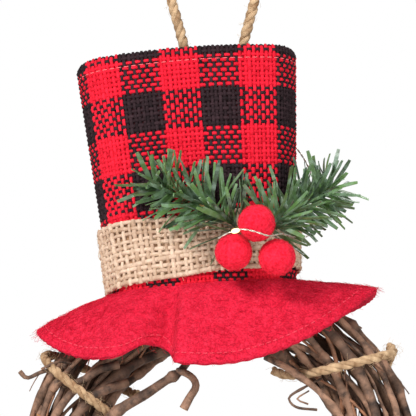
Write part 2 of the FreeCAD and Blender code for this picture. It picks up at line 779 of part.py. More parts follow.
def battery_cover():
    """The cover that slides out along X in the case's grooves, with a ridged thumb grip."""
    body = doc.addObject("PartDesign::Body", "battery_cover")
    low = "(Sizes.case_depth - Sizes.lip_depth - Sizes.cover_play - Sizes.cover_thickness)"
    length = "(Sizes.case_length - Sizes.case_wall - Sizes.cover_play)"
    pad(body, rectangle(body, "Plate", "(Sizes.case_wall + Sizes.cover_play) / 2", "0", low,
                        length, "Sizes.cover_width"), "Sizes.cover_thickness")
    top = f"({low} + Sizes.cover_thickness)"
    pad(body, rectangle(body, "Grip", "Sizes.case_length / 3", "0", top, "12", "16"),
        "Sizes.lip_depth")
    cut = pocket(body, rectangle(body, "RidgeGap", "Sizes.case_length / 3 - 4.4", "0",
                                 f"{top} + Sizes.lip_depth", "1.1", "18"), "0.7")
    ridges = body.newObject("PartDesign::LinearPattern", "Ridges")
    ridges.Originals = [cut]
    ridges.Direction = (next(f for f in body.Origin.OriginFeatures if f.Role == "X_Axis"), [""])
    ridges.setExpression("Length", "8.8")
    ridges.setExpression("Occurrences", "Sizes.grip_ridges")
    body.Tip = ridges
    keep(body, "battery_cover", case_frame())


def power_switch():
    """The slider: a plate inside the wall and a knob through its slot, at its off end."""
    body = doc.addObject("PartDesign::Body", "power_switch")
    start = "(-Sizes.case_length / 2 + 2 * Sizes.case_wall + Sizes.cell_bay_length)"
    knob_x = f"({start} + 2.8 + Sizes.knob_length / 2 + 0.5)"
    knob_height = "(Sizes.slot_height - 3 * Sizes.cover_play)"
    low = f"(Sizes.case_depth / 2 - {knob_height} / 2)"
    plate_y = "(Sizes.bay_width / 2 - Sizes.cover_play - 0.8)"
    pad(body, rectangle(body, "Plate", knob_x, plate_y, f"{low} - 1.4", "7", "1.6"),
        f"{knob_height} + 2.8")
    knob_reach = "(Sizes.case_width / 2 + 1.8)"
    pad(body, rectangle(body, "Knob", knob_x, f"({plate_y} + {knob_reach}) / 2", low,
                        "Sizes.knob_length", f"{knob_reach} - {plate_y}"), knob_height)
    keep(body, "power_switch", case_frame())


def coil_route():
    """A contact spring's coils, rising along Z."""
    points = []
    steps = int(SPRING_TURNS * POINTS_PER_SPRING_TURN)
    for step in range(steps + 1):
        angle = 2 * math.pi * step / POINTS_PER_SPRING_TURN
        points.append((size("spring_radius") * math.cos(angle),
                       size("spring_radius") * math.sin(angle),
                       size("spring_length") * step / steps))
    return points


def cells():
    """Two cells side by side, the second the other way round."""
    plate = size("plate_thickness") + 0.3
    near_end = -size("case_length") / 2 + size("case_wall") + plate
    far_end = near_end - 2 * plate + size("cell_bay_length")
    z = size("case_wall") + size("cell_radius") + 0.2
    for number, (start, way) in enumerate(((far_end, -1), (near_end, 1)), start=1):
        nub = doc.addObject("Part::Cylinder", "Nub")
        bind(nub, Radius="Sizes.nub_radius", Height="Sizes.nub_length")
        can = doc.addObject("Part::Cylinder", "Can")
        bind(can, Radius="Sizes.cell_radius", Height="Sizes.cell_length")
        can.setExpression("Placement.Base.z", "Sizes.nub_length")
        cell = doc.addObject("Part::Fuse", f"battery_cell_{number}")
        cell.Base = can
        cell.Tool = nub
        turn = FreeCAD.Rotation(FreeCAD.Vector(0, 0, 1), FreeCAD.Vector(way, 0, 0))
        spot = FreeCAD.Vector(start, -way * (size("cell_radius") + 0.12), z)
        keep(cell, f"battery_cell_{number}", case_frame().multiply(FreeCAD.Placement(spot, turn)))
    springs = []
    plates = []
    for start, way in ((near_end, 1), (far_end, -1)):
        coil = tube(coil_route(), size("spring_wire"))
        turn = FreeCAD.Rotation(FreeCAD.Vector(0, 0, 1), FreeCAD.Vector(way, 0, 0))
        spot = FreeCAD.Vector(start + way * (size("spring_wire") + 0.1),
                              way * (size("cell_radius") + 0.12), z)
        coil.Placement = FreeCAD.Placement(spot, turn)
        springs.append(coil)
        plates.append(Part.makeBox(
            size("plate_thickness"), size("bay_width") - 2, 2 * size("cell_radius") - 2,
            FreeCAD.Vector(start - way * 0.3 - (size("plate_thickness") if way > 0 else 0),
                           1 - size("bay_width") / 2, size("case_wall") + 1)))
    feature("contact_springs", Part.Compound(springs), case_frame())
    feature("contact_plates", Part.Compound(plates), case_frame())


def timer_board():
    """The little board that drives the lamps: a card with a chip and a crystal on it."""
    card = doc.addObject("Part::Box", "Card")
    bind(card, Length="11", Width="20", Height="Sizes.board_thickness")
    chip = doc.addObject("Part::Box", "Chip")
    bind(chip, Length="4", Width="5", Height="1.6")
    chip.Placement.Base = FreeCAD.Vector(3.5, 9, size("board_thickness"))
    crystal = doc.addObject("Part::Cylinder", "Crystal")
    bind(crystal, Radius="1.1", Height="6")
    crystal.Placement.Base = FreeCAD.Vector(3, 4, size("board_thickness"))
    board = doc.addObject("Part::MultiFuse", "timer_board")
    board.Shapes = [card, chip, crystal]
    spot = FreeCAD.Vector(24.6, -11.5, 2 * size("case_wall"))
    keep(board, "timer_board", case_frame().multiply(FreeCAD.Placement(spot, FreeCAD.Rotation())))


def mounting_pad():
    """The foam pad that sticks the case to the crown's back."""
    foam = doc.addObject("Part::Box", "mounting_pad")
    bind(foam, Length="Sizes.pad_width", Width="Sizes.pad_height",
         Height="Sizes.case_gap - 3 * Sizes.layer_gap")
    spot = FreeCAD.Vector(-size("pad_width") / 2, -size("pad_height") / 2,
                          2 * size("layer_gap") - size("case_gap"))
    keep(foam, "mounting_pad", case_frame().multiply(FreeCAD.Placement(spot, FreeCAD.Rotation())))


# ---------------------------------------------------------------- scarf


def scarf():
    """A plaid scarf round the neck: a band, a knot at the front and two hanging tails."""
    neck_z = size("head_z") - size("head_radius") - tube_reach()
    neck = FreeCAD.Vector(size("head_x"), size("ring_y"), neck_z)
    body = doc.addObject("PartDesign::Body", "scarf_neck")
    outer = []
    for inset in ("0", "Sizes.scarf_thickness"):
        sizes = [f"(Sizes.scarf_{side} + Sizes.scarf_thickness - {inset})"
                 for side in ("width", "depth")]
        end_radius = f"(0.86 * Sizes.scarf_depth + Sizes.scarf_thickness - {inset})"
        outer.append(oval(body, "Oval", "-Sizes.scarf_height / 2", *sizes, end_radius))
    pad(body, outer[0], "Sizes.scarf_height")
    doc.recompute()
    hollow = body.newObject("PartDesign::Pocket", "Hollow")
    hollow.Profile = outer[1]
    hollow.Reversed = True
    hollow.setExpression("Length", "Sizes.scarf_height")
    keep(body, "scarf_neck", FreeCAD.Placement(neck, FreeCAD.Rotation()))
    knot = doc.addObject("Part::Ellipsoid", "scarf_knot")
    bind(knot, Radius1="10", Radius2="17", Radius3="15")
    front = size("scarf_depth") + size("scarf_thickness")
    spot = neck + FreeCAD.Vector(12, -front - 10.4, -2)
    turn = FreeCAD.Rotation(FreeCAD.Vector(0, 0, 1), FreeCAD.Vector(0, 1, 0))
    keep(knot, "scarf_knot", FreeCAD.Placement(spot, turn))
    for side, lean, across, back in (("left", 9, -8, 6.4), ("right", -7, 10, 2)):
        tail = doc.addObject("Part::Box", f"scarf_tail_{side}")
        bind(tail, Length="Sizes.tail_width", Width="Sizes.scarf_thickness - 1",
             Height="Sizes.tail_length")
        turn = FreeCAD.Rotation(FreeCAD.Vector(0, 1, 0), lean)
        foot = FreeCAD.Vector(-size("tail_width") / 2, 0, -size("tail_length"))
        top = spot + FreeCAD.Vector(across, back, -19)
        keep(tail, f"scarf_tail_{side}", FreeCAD.Placement(top + turn.multVec(foot), turn))


# ---------------------------------------------------------------- build and export


def build():
    fill_sheet()
    crown()
    hat_band()
    brim_layer("brim_top", 0.0)
    brim_layer("brim_under", size("felt") + size("layer_gap"))
    hanging_loop()
    sprig("pine_sprig_left", LEFT_STEM)
    sprig("pine_sprig_right", RIGHT_STEM)
    balls()
    light_string()
    battery_case()
    battery_cover()
    power_switch()
    cells()
    timer_board()
    mounting_pad()
    vine_ring("head", size("head_radius"), 1.0, HEAD_VINES, size("head_z"))
    vine_ring("body", size("body_radius"), size("body_growth"), BODY_VINES, body_z())
    twine_wraps()
    hat_tie()
    neck_lashing()
    scarf()
    doc.recompute()


def check():
    """Stop if any object failed or any sub-part is not a sound solid."""
    for obj in doc.Objects:
        bad = {"Invalid", "Error"} & set(obj.State)
        assert not bad, f"{obj.Label}: {bad}"
    for obj in subparts:
        assert not obj.Shape.isNull(), obj.Label
        assert obj.Shape.isValid(), obj.Label
        assert obj.Shape.Solids, obj.Label


def export():
    os.makedirs("parts", exist_ok=True)
    for obj in subparts:
        obj.Shape.exportStep(f"parts/{obj.Label}.step")
    print(f"{len(subparts)} sub-parts written")


build()
check()
export()
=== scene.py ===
"""Looks of the hanging grapevine snowman, dressed around its CAD frame."""

import logging
import math
import random
from dataclasses import dataclass, field
from enum import Enum
from typing import Any, Callable, Iterable, Optional, Sequence

import bmesh
import bpy
import numpy as np
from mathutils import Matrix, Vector, noise


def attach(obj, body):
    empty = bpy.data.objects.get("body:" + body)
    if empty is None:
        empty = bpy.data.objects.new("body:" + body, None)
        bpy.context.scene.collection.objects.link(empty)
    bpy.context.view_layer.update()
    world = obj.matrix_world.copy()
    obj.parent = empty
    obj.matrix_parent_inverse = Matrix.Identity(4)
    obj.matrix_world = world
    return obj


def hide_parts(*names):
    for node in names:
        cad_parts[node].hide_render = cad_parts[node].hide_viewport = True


logging.basicConfig(level=logging.INFO, format="%(message)s")
log = logging.getLogger("snowman")

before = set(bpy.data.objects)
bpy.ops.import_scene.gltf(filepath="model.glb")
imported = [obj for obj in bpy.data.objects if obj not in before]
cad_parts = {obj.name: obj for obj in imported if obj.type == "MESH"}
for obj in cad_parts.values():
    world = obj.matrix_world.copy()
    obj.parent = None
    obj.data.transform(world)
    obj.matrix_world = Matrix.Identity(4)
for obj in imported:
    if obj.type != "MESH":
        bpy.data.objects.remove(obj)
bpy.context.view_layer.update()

MM = 0.001
SNOWMAN = "snowman"
GOLDEN = math.radians(137.5)
Array = np.ndarray
Chance = np.random.Generator
Colour = tuple[float, float, float]
Mesh = bpy.types.Mesh
Piece = bpy.types.Object
Socket = bpy.types.NodeSocket
Surface = Callable[[Array, Array, Array], Array]
Tree = bpy.types.NodeTree


def srgb(red: int, green: int, blue: int) -> Colour:
    """Returns a display colour as linear light."""
    return tuple(((v / 255 + 0.055) / 1.055) ** 2.4 if v > 10 else v / 3294 for v in (red, green, blue))


def unit(vectors: Array) -> Array:
    """Returns the vectors, one per row, at length one."""
    lengths = np.linalg.norm(vectors, axis=-1, keepdims=True)
    return vectors / np.maximum(lengths, 1e-9)


def run_lengths(line: Array) -> Array:
    """Returns the distance along a line of each of its points."""
    return np.concatenate([[0], np.cumsum(np.linalg.norm(np.diff(line, axis=0), axis=1))])


def along_line(line: Array, lengths: Array, wanted: Any) -> Array:
    """Returns the points of a line at the wanted distances along it."""
    return np.stack([np.interp(wanted, lengths, line[:, axis]) for axis in range(line.shape[1])], -1)


# ---------------------------------------------------------------- nodes


class NodeWriter:
    """Adds nodes to one tree and joins them."""

    def __init__(self, tree: Tree) -> None:
        """Keeps the tree that the nodes go into."""
        self.tree = tree

    def add(self, kind: str, inputs: Optional[dict] = None, **settings: Any) -> bpy.types.Node:
        """Adds a node.

        Args:
            kind: The node's type name.
            inputs: Value or socket for each input, by name or number.
            settings: Properties of the node itself.

        Returns:
            The new node.
        """
        node = self.tree.nodes.new(kind)
        for key, value in settings.items():
            setattr(node, key, value)
        for key, value in (inputs or {}).items():
            self.feed(node.inputs[key], value)
        return node

    def feed(self, target: Socket, value: Any) -> None:
        """Links a socket to an input, or sets the input's own value."""
        if isinstance(value, Socket):
            self.tree.links.new(value, target)
        else:
            target.default_value = value

    def math(self, operation: str, first: Any, second: Any = 0.0) -> Socket:
        """Returns the result of a sum on two numbers."""
        node = self.add("ShaderNodeMath", {0: first, 1: second}, operation=operation)
        return node.outputs[0]

    def vector(self, operation: str, first: Any, second: Any) -> Socket:
        """Returns the result of a sum on two vectors."""
        node = self.add("ShaderNodeVectorMath", {0: first, 1: second}, operation=operation)
        return node.outputs[0]

    def mix(self, share: Any, first: Any, second: Any) -> Socket:
        """Returns a colour between two colours."""
        node = self.add("ShaderNodeMix", {0: share, 6: first, 7: second}, data_type="RGBA")
        return node.outputs[2]

    def spread(self, value: Any, low: float, high: float) -> Socket:
        """Returns a value stretched so that low becomes 0 and high becomes 1."""
        return self.add("ShaderNodeMapRange", {0: value, 1: low, 2: high}).outputs[0]


def new_tree(name: str, kind: str, sockets: Sequence[tuple[str, str, str]]) -> Tree:
    """Makes a node group with named sockets.

    Args:
        name: The group's name.
        kind: GeometryNodeTree or ShaderNodeTree.
        sockets: Name, direction and type of each socket.

    Returns:
        The empty group.
    """
    tree = bpy.data.node_groups.new(name, kind)
    for label, direction, socket_type in sockets:
        tree.interface.new_socket(label, in_out=direction, socket_type=socket_type)
    return tree


def sweep_tree() -> Tree:
    """Builds the tree that turns centre lines into round strands, or returns it if it is there."""
    found = bpy.data.node_groups.get("swept_strands")
    if found:
        return found
    tree = new_tree("swept_strands", "GeometryNodeTree", (
        ("Lines", "INPUT", "NodeSocketGeometry"), ("Sides", "INPUT", "NodeSocketInt"),
        ("Bark Height", "INPUT", "NodeSocketFloat"), ("Bark Grain", "INPUT", "NodeSocketFloat"),
        ("Finish", "INPUT", "NodeSocketMaterial"), ("Strands", "OUTPUT", "NodeSocketGeometry")))
    write = NodeWriter(tree)
    given = write.add("NodeGroupInput").outputs

    def named(name: str, kind: str = "FLOAT") -> Socket:
        """Returns the output that reads an attribute."""
        node = write.add("GeometryNodeInputNamedAttribute", {"Name": name}, data_type=kind)
        return node.outputs["Attribute"]

    def store(geometry: Any, name: str, value: Any, kind: str = "FLOAT") -> Socket:
        """Returns the geometry with an attribute stored on its points."""
        node = write.add("GeometryNodeStoreNamedAttribute",
                         {"Geometry": geometry, "Name": name}, data_type=kind)
        write.feed(node.inputs["Value"], value)
        return node.outputs[0]

    curve = write.add("GeometryNodeMeshToCurve", {"Mesh": given["Lines"]}).outputs[0]
    length = write.add("GeometryNodeSplineParameter").outputs["Length"]
    curve = store(curve, "along", length)
    circle = write.add("GeometryNodeCurvePrimitiveCircle", {"Resolution": given["Sides"], "Radius": 1.0})
    place = write.add("GeometryNodeInputPosition").outputs[0]
    profile = store(circle.outputs["Curve"], "ring", place, "FLOAT_VECTOR")
    skin = write.add("GeometryNodeCurveToMesh", {"Curve": curve, "Profile Curve": profile,
                                                 "Scale": named("radius"), "Fill Caps": True})
    ring = write.vector("SCALE", named("ring", "FLOAT_VECTOR"), (0.0, 0.0, 0.0))
    write.feed(ring.node.inputs["Scale"], write.math("MULTIPLY", named("radius"), 1000.0))
    split = write.add("ShaderNodeSeparateXYZ", {0: ring})
    shifted = write.math("ADD", split.outputs[0], write.math("MULTIPLY", named("tint"), 61.0))
    flow = write.add("ShaderNodeCombineXYZ", {0: shifted, 1: split.outputs[1],
                                              2: write.math("MULTIPLY", named("along"), 1000.0)})
    solid = store(skin.outputs[0], "flow", flow.outputs[0], "FLOAT_VECTOR")
    ridged = write.vector("MULTIPLY", named("flow", "FLOAT_VECTOR"), (1.0, 1.0, 0.22))
    rough = write.add("ShaderNodeTexNoise", {"Vector": ridged, "Scale": given["Bark Grain"], "Detail": 3.0})
    height = write.math("MULTIPLY", write.math("SUBTRACT", rough.outputs["Fac"], 0.5), given["Bark Height"])
    normal = write.add("GeometryNodeInputNormal").outputs[0]
    offset = write.vector("SCALE", normal, (0.0, 0.0, 0.0))
    write.feed(offset.node.inputs["Scale"], height)
    moved = write.add("GeometryNodeSetPosition", {"Geometry": solid, "Offset": offset}).outputs[0]
    smooth = write.add("GeometryNodeSetShadeSmooth", {"Geometry": moved, "Shade Smooth": True}).outputs[0]
    real = write.add("GeometryNodeRealizeInstances", {"Geometry": smooth}).outputs[0]
    dressed = write.add("GeometryNodeSetMaterial", {"Geometry": real, "Material": given["Finish"]}).outputs[0]
    write.add("NodeGroupOutput", {"Strands": dressed})
    return tree


def plant_tree() -> Tree:
    """Builds the tree that sets a small piece on every point, or returns it if it is there."""
    found = bpy.data.node_groups.get("planted_pieces")
    if found:
        return found
    tree = new_tree("planted_pieces", "GeometryNodeTree", (
        ("Points", "INPUT", "NodeSocketGeometry"), ("Piece", "INPUT", "NodeSocketObject"),
        ("Finish", "INPUT", "NodeSocketMaterial"), ("Pieces", "OUTPUT", "NodeSocketGeometry")))
    write = NodeWriter(tree)
    given = write.add("NodeGroupInput").outputs

    def vector(name: str) -> Socket:
        """Returns the output that reads a vector attribute."""
        node = write.add("GeometryNodeInputNamedAttribute", {"Name": name}, data_type="FLOAT_VECTOR")
        return node.outputs["Attribute"]

    piece = write.add("GeometryNodeObjectInfo", {"Object": given["Piece"]}).outputs["Geometry"]
    stand = write.add("FunctionNodeAlignRotationToVector", {"Vector": vector("heading")}, axis="Z")
    turned = write.add("FunctionNodeAlignRotationToVector",
                       {"Rotation": stand.outputs[0], "Vector": vector("face")}, axis="X", pivot_axis="Z")
    planted = write.add("GeometryNodeInstanceOnPoints", {
        "Points": given["Points"], "Instance": piece,
        "Rotation": turned.outputs[0], "Scale": vector("grow")}).outputs[0]
    real = write.add("GeometryNodeRealizeInstances", {"Geometry": planted}).outputs[0]
    dressed = write.add("GeometryNodeSetMaterial", {"Geometry": real, "Material": given["Finish"]}).outputs[0]
    write.add("NodeGroupOutput", {"Pieces": dressed})
    return tree


def grown(guide: Piece, tree: Tree, inputs: dict[str, Any]) -> Mesh:
    """Runs a tree on a guide object, which is used up.

    Args:
        guide: The object that holds the lines or points.
        tree: The geometry tree.
        inputs: Value of each of the tree's inputs, by name.

    Returns:
        The result as a plain mesh.
    """
    modifier = guide.modifiers.new("grow", "NODES")
    modifier.node_group = tree
    for item in tree.interface.items_tree:
        if item.in_out == "INPUT" and item.name in inputs:
            modifier[item.identifier] = inputs[item.name]
    graph = bpy.context.evaluated_depsgraph_get()
    mesh = bpy.data.meshes.new_from_object(
        guide.evaluated_get(graph), preserve_all_data_layers=True, depsgraph=graph)
    bpy.data.objects.remove(guide)
    return mesh


# ---------------------------------------------------------------- shared shader groups


def fibre_group() -> Tree:
    """Builds the fibre grain group: fine streaks that run along the strand."""
    found = bpy.data.node_groups.get("fibre_grain")
    if found:
        return found
    tree = new_tree("fibre_grain", "ShaderNodeTree", (
        ("Vector", "INPUT", "NodeSocketVector"), ("Scale", "INPUT", "NodeSocketFloat"),
        ("Stretch", "INPUT", "NodeSocketFloat"), ("Shade", "OUTPUT", "NodeSocketFloat"),
        ("Height", "OUTPUT", "NodeSocketFloat")))
    write = NodeWriter(tree)
    given = write.add("NodeGroupInput").outputs
    long_way = write.add("ShaderNodeCombineXYZ", {0: 1.0, 1: 1.0, 2: given["Stretch"]}).outputs[0]
    drawn = write.vector("MULTIPLY", given["Vector"], long_way)
    coarse = write.add("ShaderNodeTexNoise", {"Vector": drawn, "Scale": given["Scale"], "Detail": 4.0})
    fine = write.add("ShaderNodeTexNoise", {
        "Vector": drawn, "Scale": write.math("MULTIPLY", given["Scale"], 3.7), "Detail": 2.0})
    shade = write.spread(coarse.outputs["Fac"], 0.32, 0.68)
    height = write.math("ADD", shade, write.math("MULTIPLY", fine.outputs["Fac"], 0.5))
    write.add("NodeGroupOutput", {"Shade": shade, "Height": height})
    return tree


def mottle_group() -> Tree:
    """Builds the mottle group: soft patches of a second colour."""
    found = bpy.data.node_groups.get("mottle")
    if found:
        return found
    tree = new_tree("mottle", "ShaderNodeTree", (
        ("Vector", "INPUT", "NodeSocketVector"), ("Scale", "INPUT", "NodeSocketFloat"),
        ("Amount", "INPUT", "NodeSocketFloat"), ("Mask", "OUTPUT", "NodeSocketFloat")))
    write = NodeWriter(tree)
    given = write.add("NodeGroupInput").outputs
    cloud = write.add("ShaderNodeTexNoise", {
        "Vector": given["Vector"], "Scale": given["Scale"], "Detail": 5.0, "Roughness": 0.62})
    mask = write.spread(cloud.outputs["Fac"], 0.44, 0.66)
    write.add("NodeGroupOutput", {"Mask": write.math("MULTIPLY", mask, given["Amount"])})
    return tree


# ---------------------------------------------------------------- finishes


class Guide(Enum):
    """What a finish's pattern follows."""

    PLACE = "object"
    STRAND = "flow"


@dataclass(frozen=True)
class Finish:
    """One finish: its colours, its grain and how it takes the light."""

    name: str
    dark: Colour
    light: Colour
    accent: Colour = (0.5, 0.5, 0.5)
    accent_amount: float = 0.0
    accent_scale: float = 0.12
    guide: Guide = Guide.PLACE
    grain: float = 1.0
    stretch: float = 1.0
    tint_share: float = 0.0
    bump: float = 0.3
    bump_depth: float = 0.2
    roughness: float = 0.85
    specular: float = 0.15
    metallic: float = 0.0
    sheen: float = 0.0
    sheen_tint: Colour = (1.0, 1.0, 1.0)
    glow: float = 0.0
    glow_colour: Colour = (1.0, 0.6, 0.25)

    def material(self) -> bpy.types.Material:
        """Builds the material, or returns it if it is there."""
        name = f"{self.name}_finish"
        found = bpy.data.materials.get(name)
        if found:
            return found
        material = bpy.data.materials.new(name)
        material.use_nodes = True
        write = NodeWriter(material.node_tree)
        shader = material.node_tree.nodes["Principled BSDF"]
        place = write.add("ShaderNodeTexCoord").outputs["Object"]
        place = write.vector("MULTIPLY", place, (1000.0, 1000.0, 1000.0))
        vector = place
        if self.guide is Guide.STRAND:
            vector = write.add("ShaderNodeAttribute", attribute_name="flow").outputs["Vector"]
        grain = write.add("ShaderNodeGroup", {"Vector": vector, "Scale": self.grain,
                                              "Stretch": self.stretch}, node_tree=fibre_group())
        patches = write.add("ShaderNodeGroup", {"Vector": place, "Scale": self.accent_scale,
                                                "Amount": self.accent_amount}, node_tree=mottle_group())
        share = grain.outputs["Shade"]
        if self.tint_share > 0:
            tint = write.add("ShaderNodeAttribute", attribute_name="tint").outputs["Fac"]
            tinted = write.math("MULTIPLY", tint, self.tint_share)
            share = write.math("ADD", tinted, write.math("MULTIPLY", share, 1 - self.tint_share))
        colour = write.mix(share, (*self.dark, 1.0), (*self.light, 1.0))
        colour = write.mix(patches.outputs["Mask"], colour, (*self.accent, 1.0))
        write.feed(shader.inputs["Base Color"], colour)
        rough = write.math("MULTIPLY_ADD", grain.outputs["Shade"], -0.12)
        rough.node.inputs[2].default_value = min(self.roughness + 0.06, 1.0)
        write.feed(shader.inputs["Roughness"], rough)
        bump = write.add("ShaderNodeBump", {"Strength": self.bump, "Distance": self.bump_depth * MM,
                                            "Height": grain.outputs["Height"]})
        write.feed(shader.inputs["Normal"], bump.outputs[0])
        for label, value in (("Metallic", self.metallic), ("Specular IOR Level", self.specular),
                             ("Sheen Weight", self.sheen), ("Sheen Roughness", 0.45),
                             ("Sheen Tint", (*self.sheen_tint, 1.0))):
            shader.inputs[label].default_value = value
        if self.glow > 0:
            shader.inputs["Emission Color"].default_value = (*self.glow_colour, 1.0)
            shader.inputs["Emission Strength"].default_value = self.glow
        return material


RED_YARN = Finish("red_yarn", srgb(180, 12, 32), srgb(236, 34, 58), guide=Guide.STRAND, grain=1.1,
                  stretch=0.3, tint_share=0.35, bump=0.5)
BLACK_YARN = Finish("black_yarn", srgb(12, 8, 10), srgb(56, 38, 43), guide=Guide.STRAND, grain=1.1,
                    stretch=0.3, tint_share=0.35, bump=0.5)
# Sheet behind the check weaves: the check's colours darkened, as painted shade in the gaps between the yarns.
GAP_SHADE_BACKING = Finish("cloth_gap_shade", srgb(22, 10, 13), srgb(160, 12, 28), tint_share=0.9, grain=0.5)
BURLAP_YARN = Finish("burlap_yarn", srgb(156, 122, 98), srgb(224, 200, 178), guide=Guide.STRAND,
                     grain=1.5, stretch=0.2, tint_share=0.45, bump=0.7, roughness=0.95)
BURLAP_BACK = Finish("burlap_back", srgb(142, 104, 76), srgb(186, 148, 116), grain=0.6, roughness=0.95)
LINER = Finish("interfacing", srgb(22, 20, 20), srgb(44, 41, 40), grain=1.4, bump=0.4)
FELT = Finish("red_felt", srgb(176, 18, 42), srgb(222, 36, 64), accent=srgb(228, 60, 88),
              accent_amount=0.30, accent_scale=0.45, grain=1.2, bump=0.7, bump_depth=0.3,
              roughness=0.95, specular=0.08, sheen=0.03, sheen_tint=(1.0, 0.4, 0.5))
BALL_FELT = Finish("red_wool", srgb(206, 14, 38), srgb(246, 36, 66), accent=srgb(246, 66, 90),
                   accent_amount=0.25, accent_scale=0.6, grain=0.9, bump=0.6, bump_depth=0.35,
                   roughness=0.95, sheen=0.1, sheen_tint=(1.0, 0.4, 0.5))
FELT_HAIR = Finish("felt_hair", srgb(176, 4, 30), srgb(236, 40, 74), grain=0.3, tint_share=0.8, bump=0.1)
PALE_THREAD = Finish("pale_thread", srgb(206, 60, 70), srgb(246, 132, 136), guide=Guide.STRAND,
                     grain=2.0, stretch=0.4, bump=0.4)
RED_THREAD = Finish("red_thread", srgb(186, 22, 48), srgb(244, 84, 104), grain=2.0, bump=0.4)
JUTE = Finish("jute", srgb(124, 92, 64), srgb(208, 178, 142), guide=Guide.STRAND, grain=1.8,
              stretch=0.16, tint_share=0.3, bump=0.8, bump_depth=0.25, roughness=0.93)
JUTE_HAIR = Finish("jute_hair", srgb(176, 142, 104), srgb(232, 206, 170), grain=0.8, tint_share=0.5)
BARK = Finish("vine_bark", srgb(30, 18, 13), srgb(178, 136, 110), accent=srgb(22, 14, 11),
              accent_amount=0.85, accent_scale=0.17, guide=Guide.STRAND, grain=0.75, stretch=0.16,
              tint_share=0.5, bump=1.0, bump_depth=0.7, roughness=0.7, specular=0.4)
# Darker copy of the bark for the vines deep inside the rings: painted shade.
SHADE_PAINTED_BARK = Finish("shaded_bark", srgb(34, 24, 20), srgb(116, 88, 70), accent=srgb(26, 18, 14),
                    accent_amount=0.7, guide=Guide.STRAND, grain=0.75, stretch=0.16,
                    tint_share=0.5, bump=0.9, bump_depth=0.5)
YOUNG_BARK = Finish("young_bark", srgb(48, 27, 18), srgb(168, 116, 84), accent=srgb(28, 17, 12),
                    accent_amount=0.7, accent_scale=0.25, guide=Guide.STRAND, grain=0.9, stretch=0.16,
                    tint_share=0.55, bump=0.9, bump_depth=0.5, roughness=0.6, specular=0.4)
CUT_WOOD = Finish("cut_wood", srgb(170, 112, 62), srgb(226, 178, 120), grain=1.6, tint_share=0.4)
# The pale bluish accent patches are painted highlight, the strips' gloss laid into their colour; dark to
# light is their own varied green.
NEEDLES = Finish("pine_strip", srgb(18, 40, 20), srgb(104, 142, 80), accent=srgb(150, 176, 160),
                 accent_amount=0.45, accent_scale=0.22, grain=0.5, tint_share=0.85, bump=0.2,
                 roughness=0.35, specular=0.5)
TAN_STEM = Finish("paper_stem", srgb(130, 92, 54), srgb(186, 146, 98), guide=Guide.STRAND, grain=1.5)
WIRE = Finish("lacquered_wire", srgb(178, 172, 160), srgb(224, 218, 206), guide=Guide.STRAND,
              roughness=0.3, metallic=0.85, bump=0.1)
LIT_LAMP = Finish("lit_lamp", srgb(255, 220, 150), srgb(255, 240, 200), glow=2.6, roughness=0.2)
CHECK_YARNS = ((True, RED_YARN, "red"), (False, BLACK_YARN, "black"))


# ---------------------------------------------------------------- meshes


def store(mesh: Mesh, label: str, values: Any) -> Mesh:
    """Stores a number or a vector on each point of a mesh and returns the mesh."""
    values = np.asarray(values, np.float32)
    kind, key = ("FLOAT", "value") if values.ndim == 1 else ("FLOAT_VECTOR", "vector")
    mesh.attributes.new(label, kind, "POINT").data.foreach_set(key, values.ravel())
    return mesh


@dataclass
class Strands:
    """Centre lines in millimetres, with a thickness and a tint at each point."""

    lines: list[Array] = field(default_factory=list)
    radii: list[Array] = field(default_factory=list)
    tints: list[Array] = field(default_factory=list)
    closed: list[bool] = field(default_factory=list)

    def add(self, points: Any, radius: Any, tint: float = 0.5, closed: bool = False) -> None:
        """Adds one line; radius is a number or one for each point."""
        points = np.asarray(points, float)
        self.lines.append(points)
        self.radii.append(np.broadcast_to(np.asarray(radius, float), len(points)).copy())
        self.tints.append(np.full(len(points), tint))
        self.closed.append(closed)

    def guide(self, name: str) -> Piece:
        """Returns a guide object with one chain of edges for each line."""
        mesh = bpy.data.meshes.new(name)
        points = np.concatenate(self.lines) * MM
        edges = []
        start = 0
        for line, closed in zip(self.lines, self.closed):
            numbers = np.arange(start, start + len(line))
            edges.append(np.stack([numbers[:-1], numbers[1:]], 1))
            if closed:
                edges.append(np.array([[numbers[-1], numbers[0]]]))
            start += len(line)
        edges = np.concatenate(edges)
        mesh.vertices.add(len(points))
        mesh.vertices.foreach_set("co", points.ravel())
        mesh.edges.add(len(edges))
        mesh.edges.foreach_set("vertices", edges.ravel())
        store(mesh, "radius", np.concatenate(self.radii) * MM)
        store(mesh, "tint", np.concatenate(self.tints))
        guide = bpy.data.objects.new(name, mesh)
        bpy.context.collection.objects.link(guide)
        return guide


def finished(name: str, mesh: Mesh, body: str = SNOWMAN) -> Piece:
    """Makes the final object of a piece and has it ride on its body.

    Args:
        name: The piece's name.
        mesh: Its mesh, in place.
        body: The body that it moves with.

    Returns:
        The new object.
    """
    mesh.name = name
    obj = bpy.data.objects.new(name, mesh)
    bpy.context.collection.objects.link(obj)
    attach(obj, body)
    log.info("%s: %d faces", name, len(mesh.polygons))
    return obj


def sweep(name: str, strands: Strands, finish: Finish, sides: int = 6,
          bark: float = 0.0, bark_grain: float = 0.9) -> Piece:
    """Makes round strands along lines.

    Args:
        name: The piece's name.
        strands: The lines.
        finish: The strands' finish.
        sides: Faces round a strand.
        bark: Height of the bark's ridges in millimetres.
        bark_grain: How close together the ridges are, per millimetre.

    Returns:
        The finished piece.
    """
    mesh = grown(strands.guide(name + "_guide"), sweep_tree(), {
        "Sides": sides, "Bark Height": bark * MM, "Bark Grain": bark_grain,
        "Finish": finish.material()})
    return finished(name, mesh)


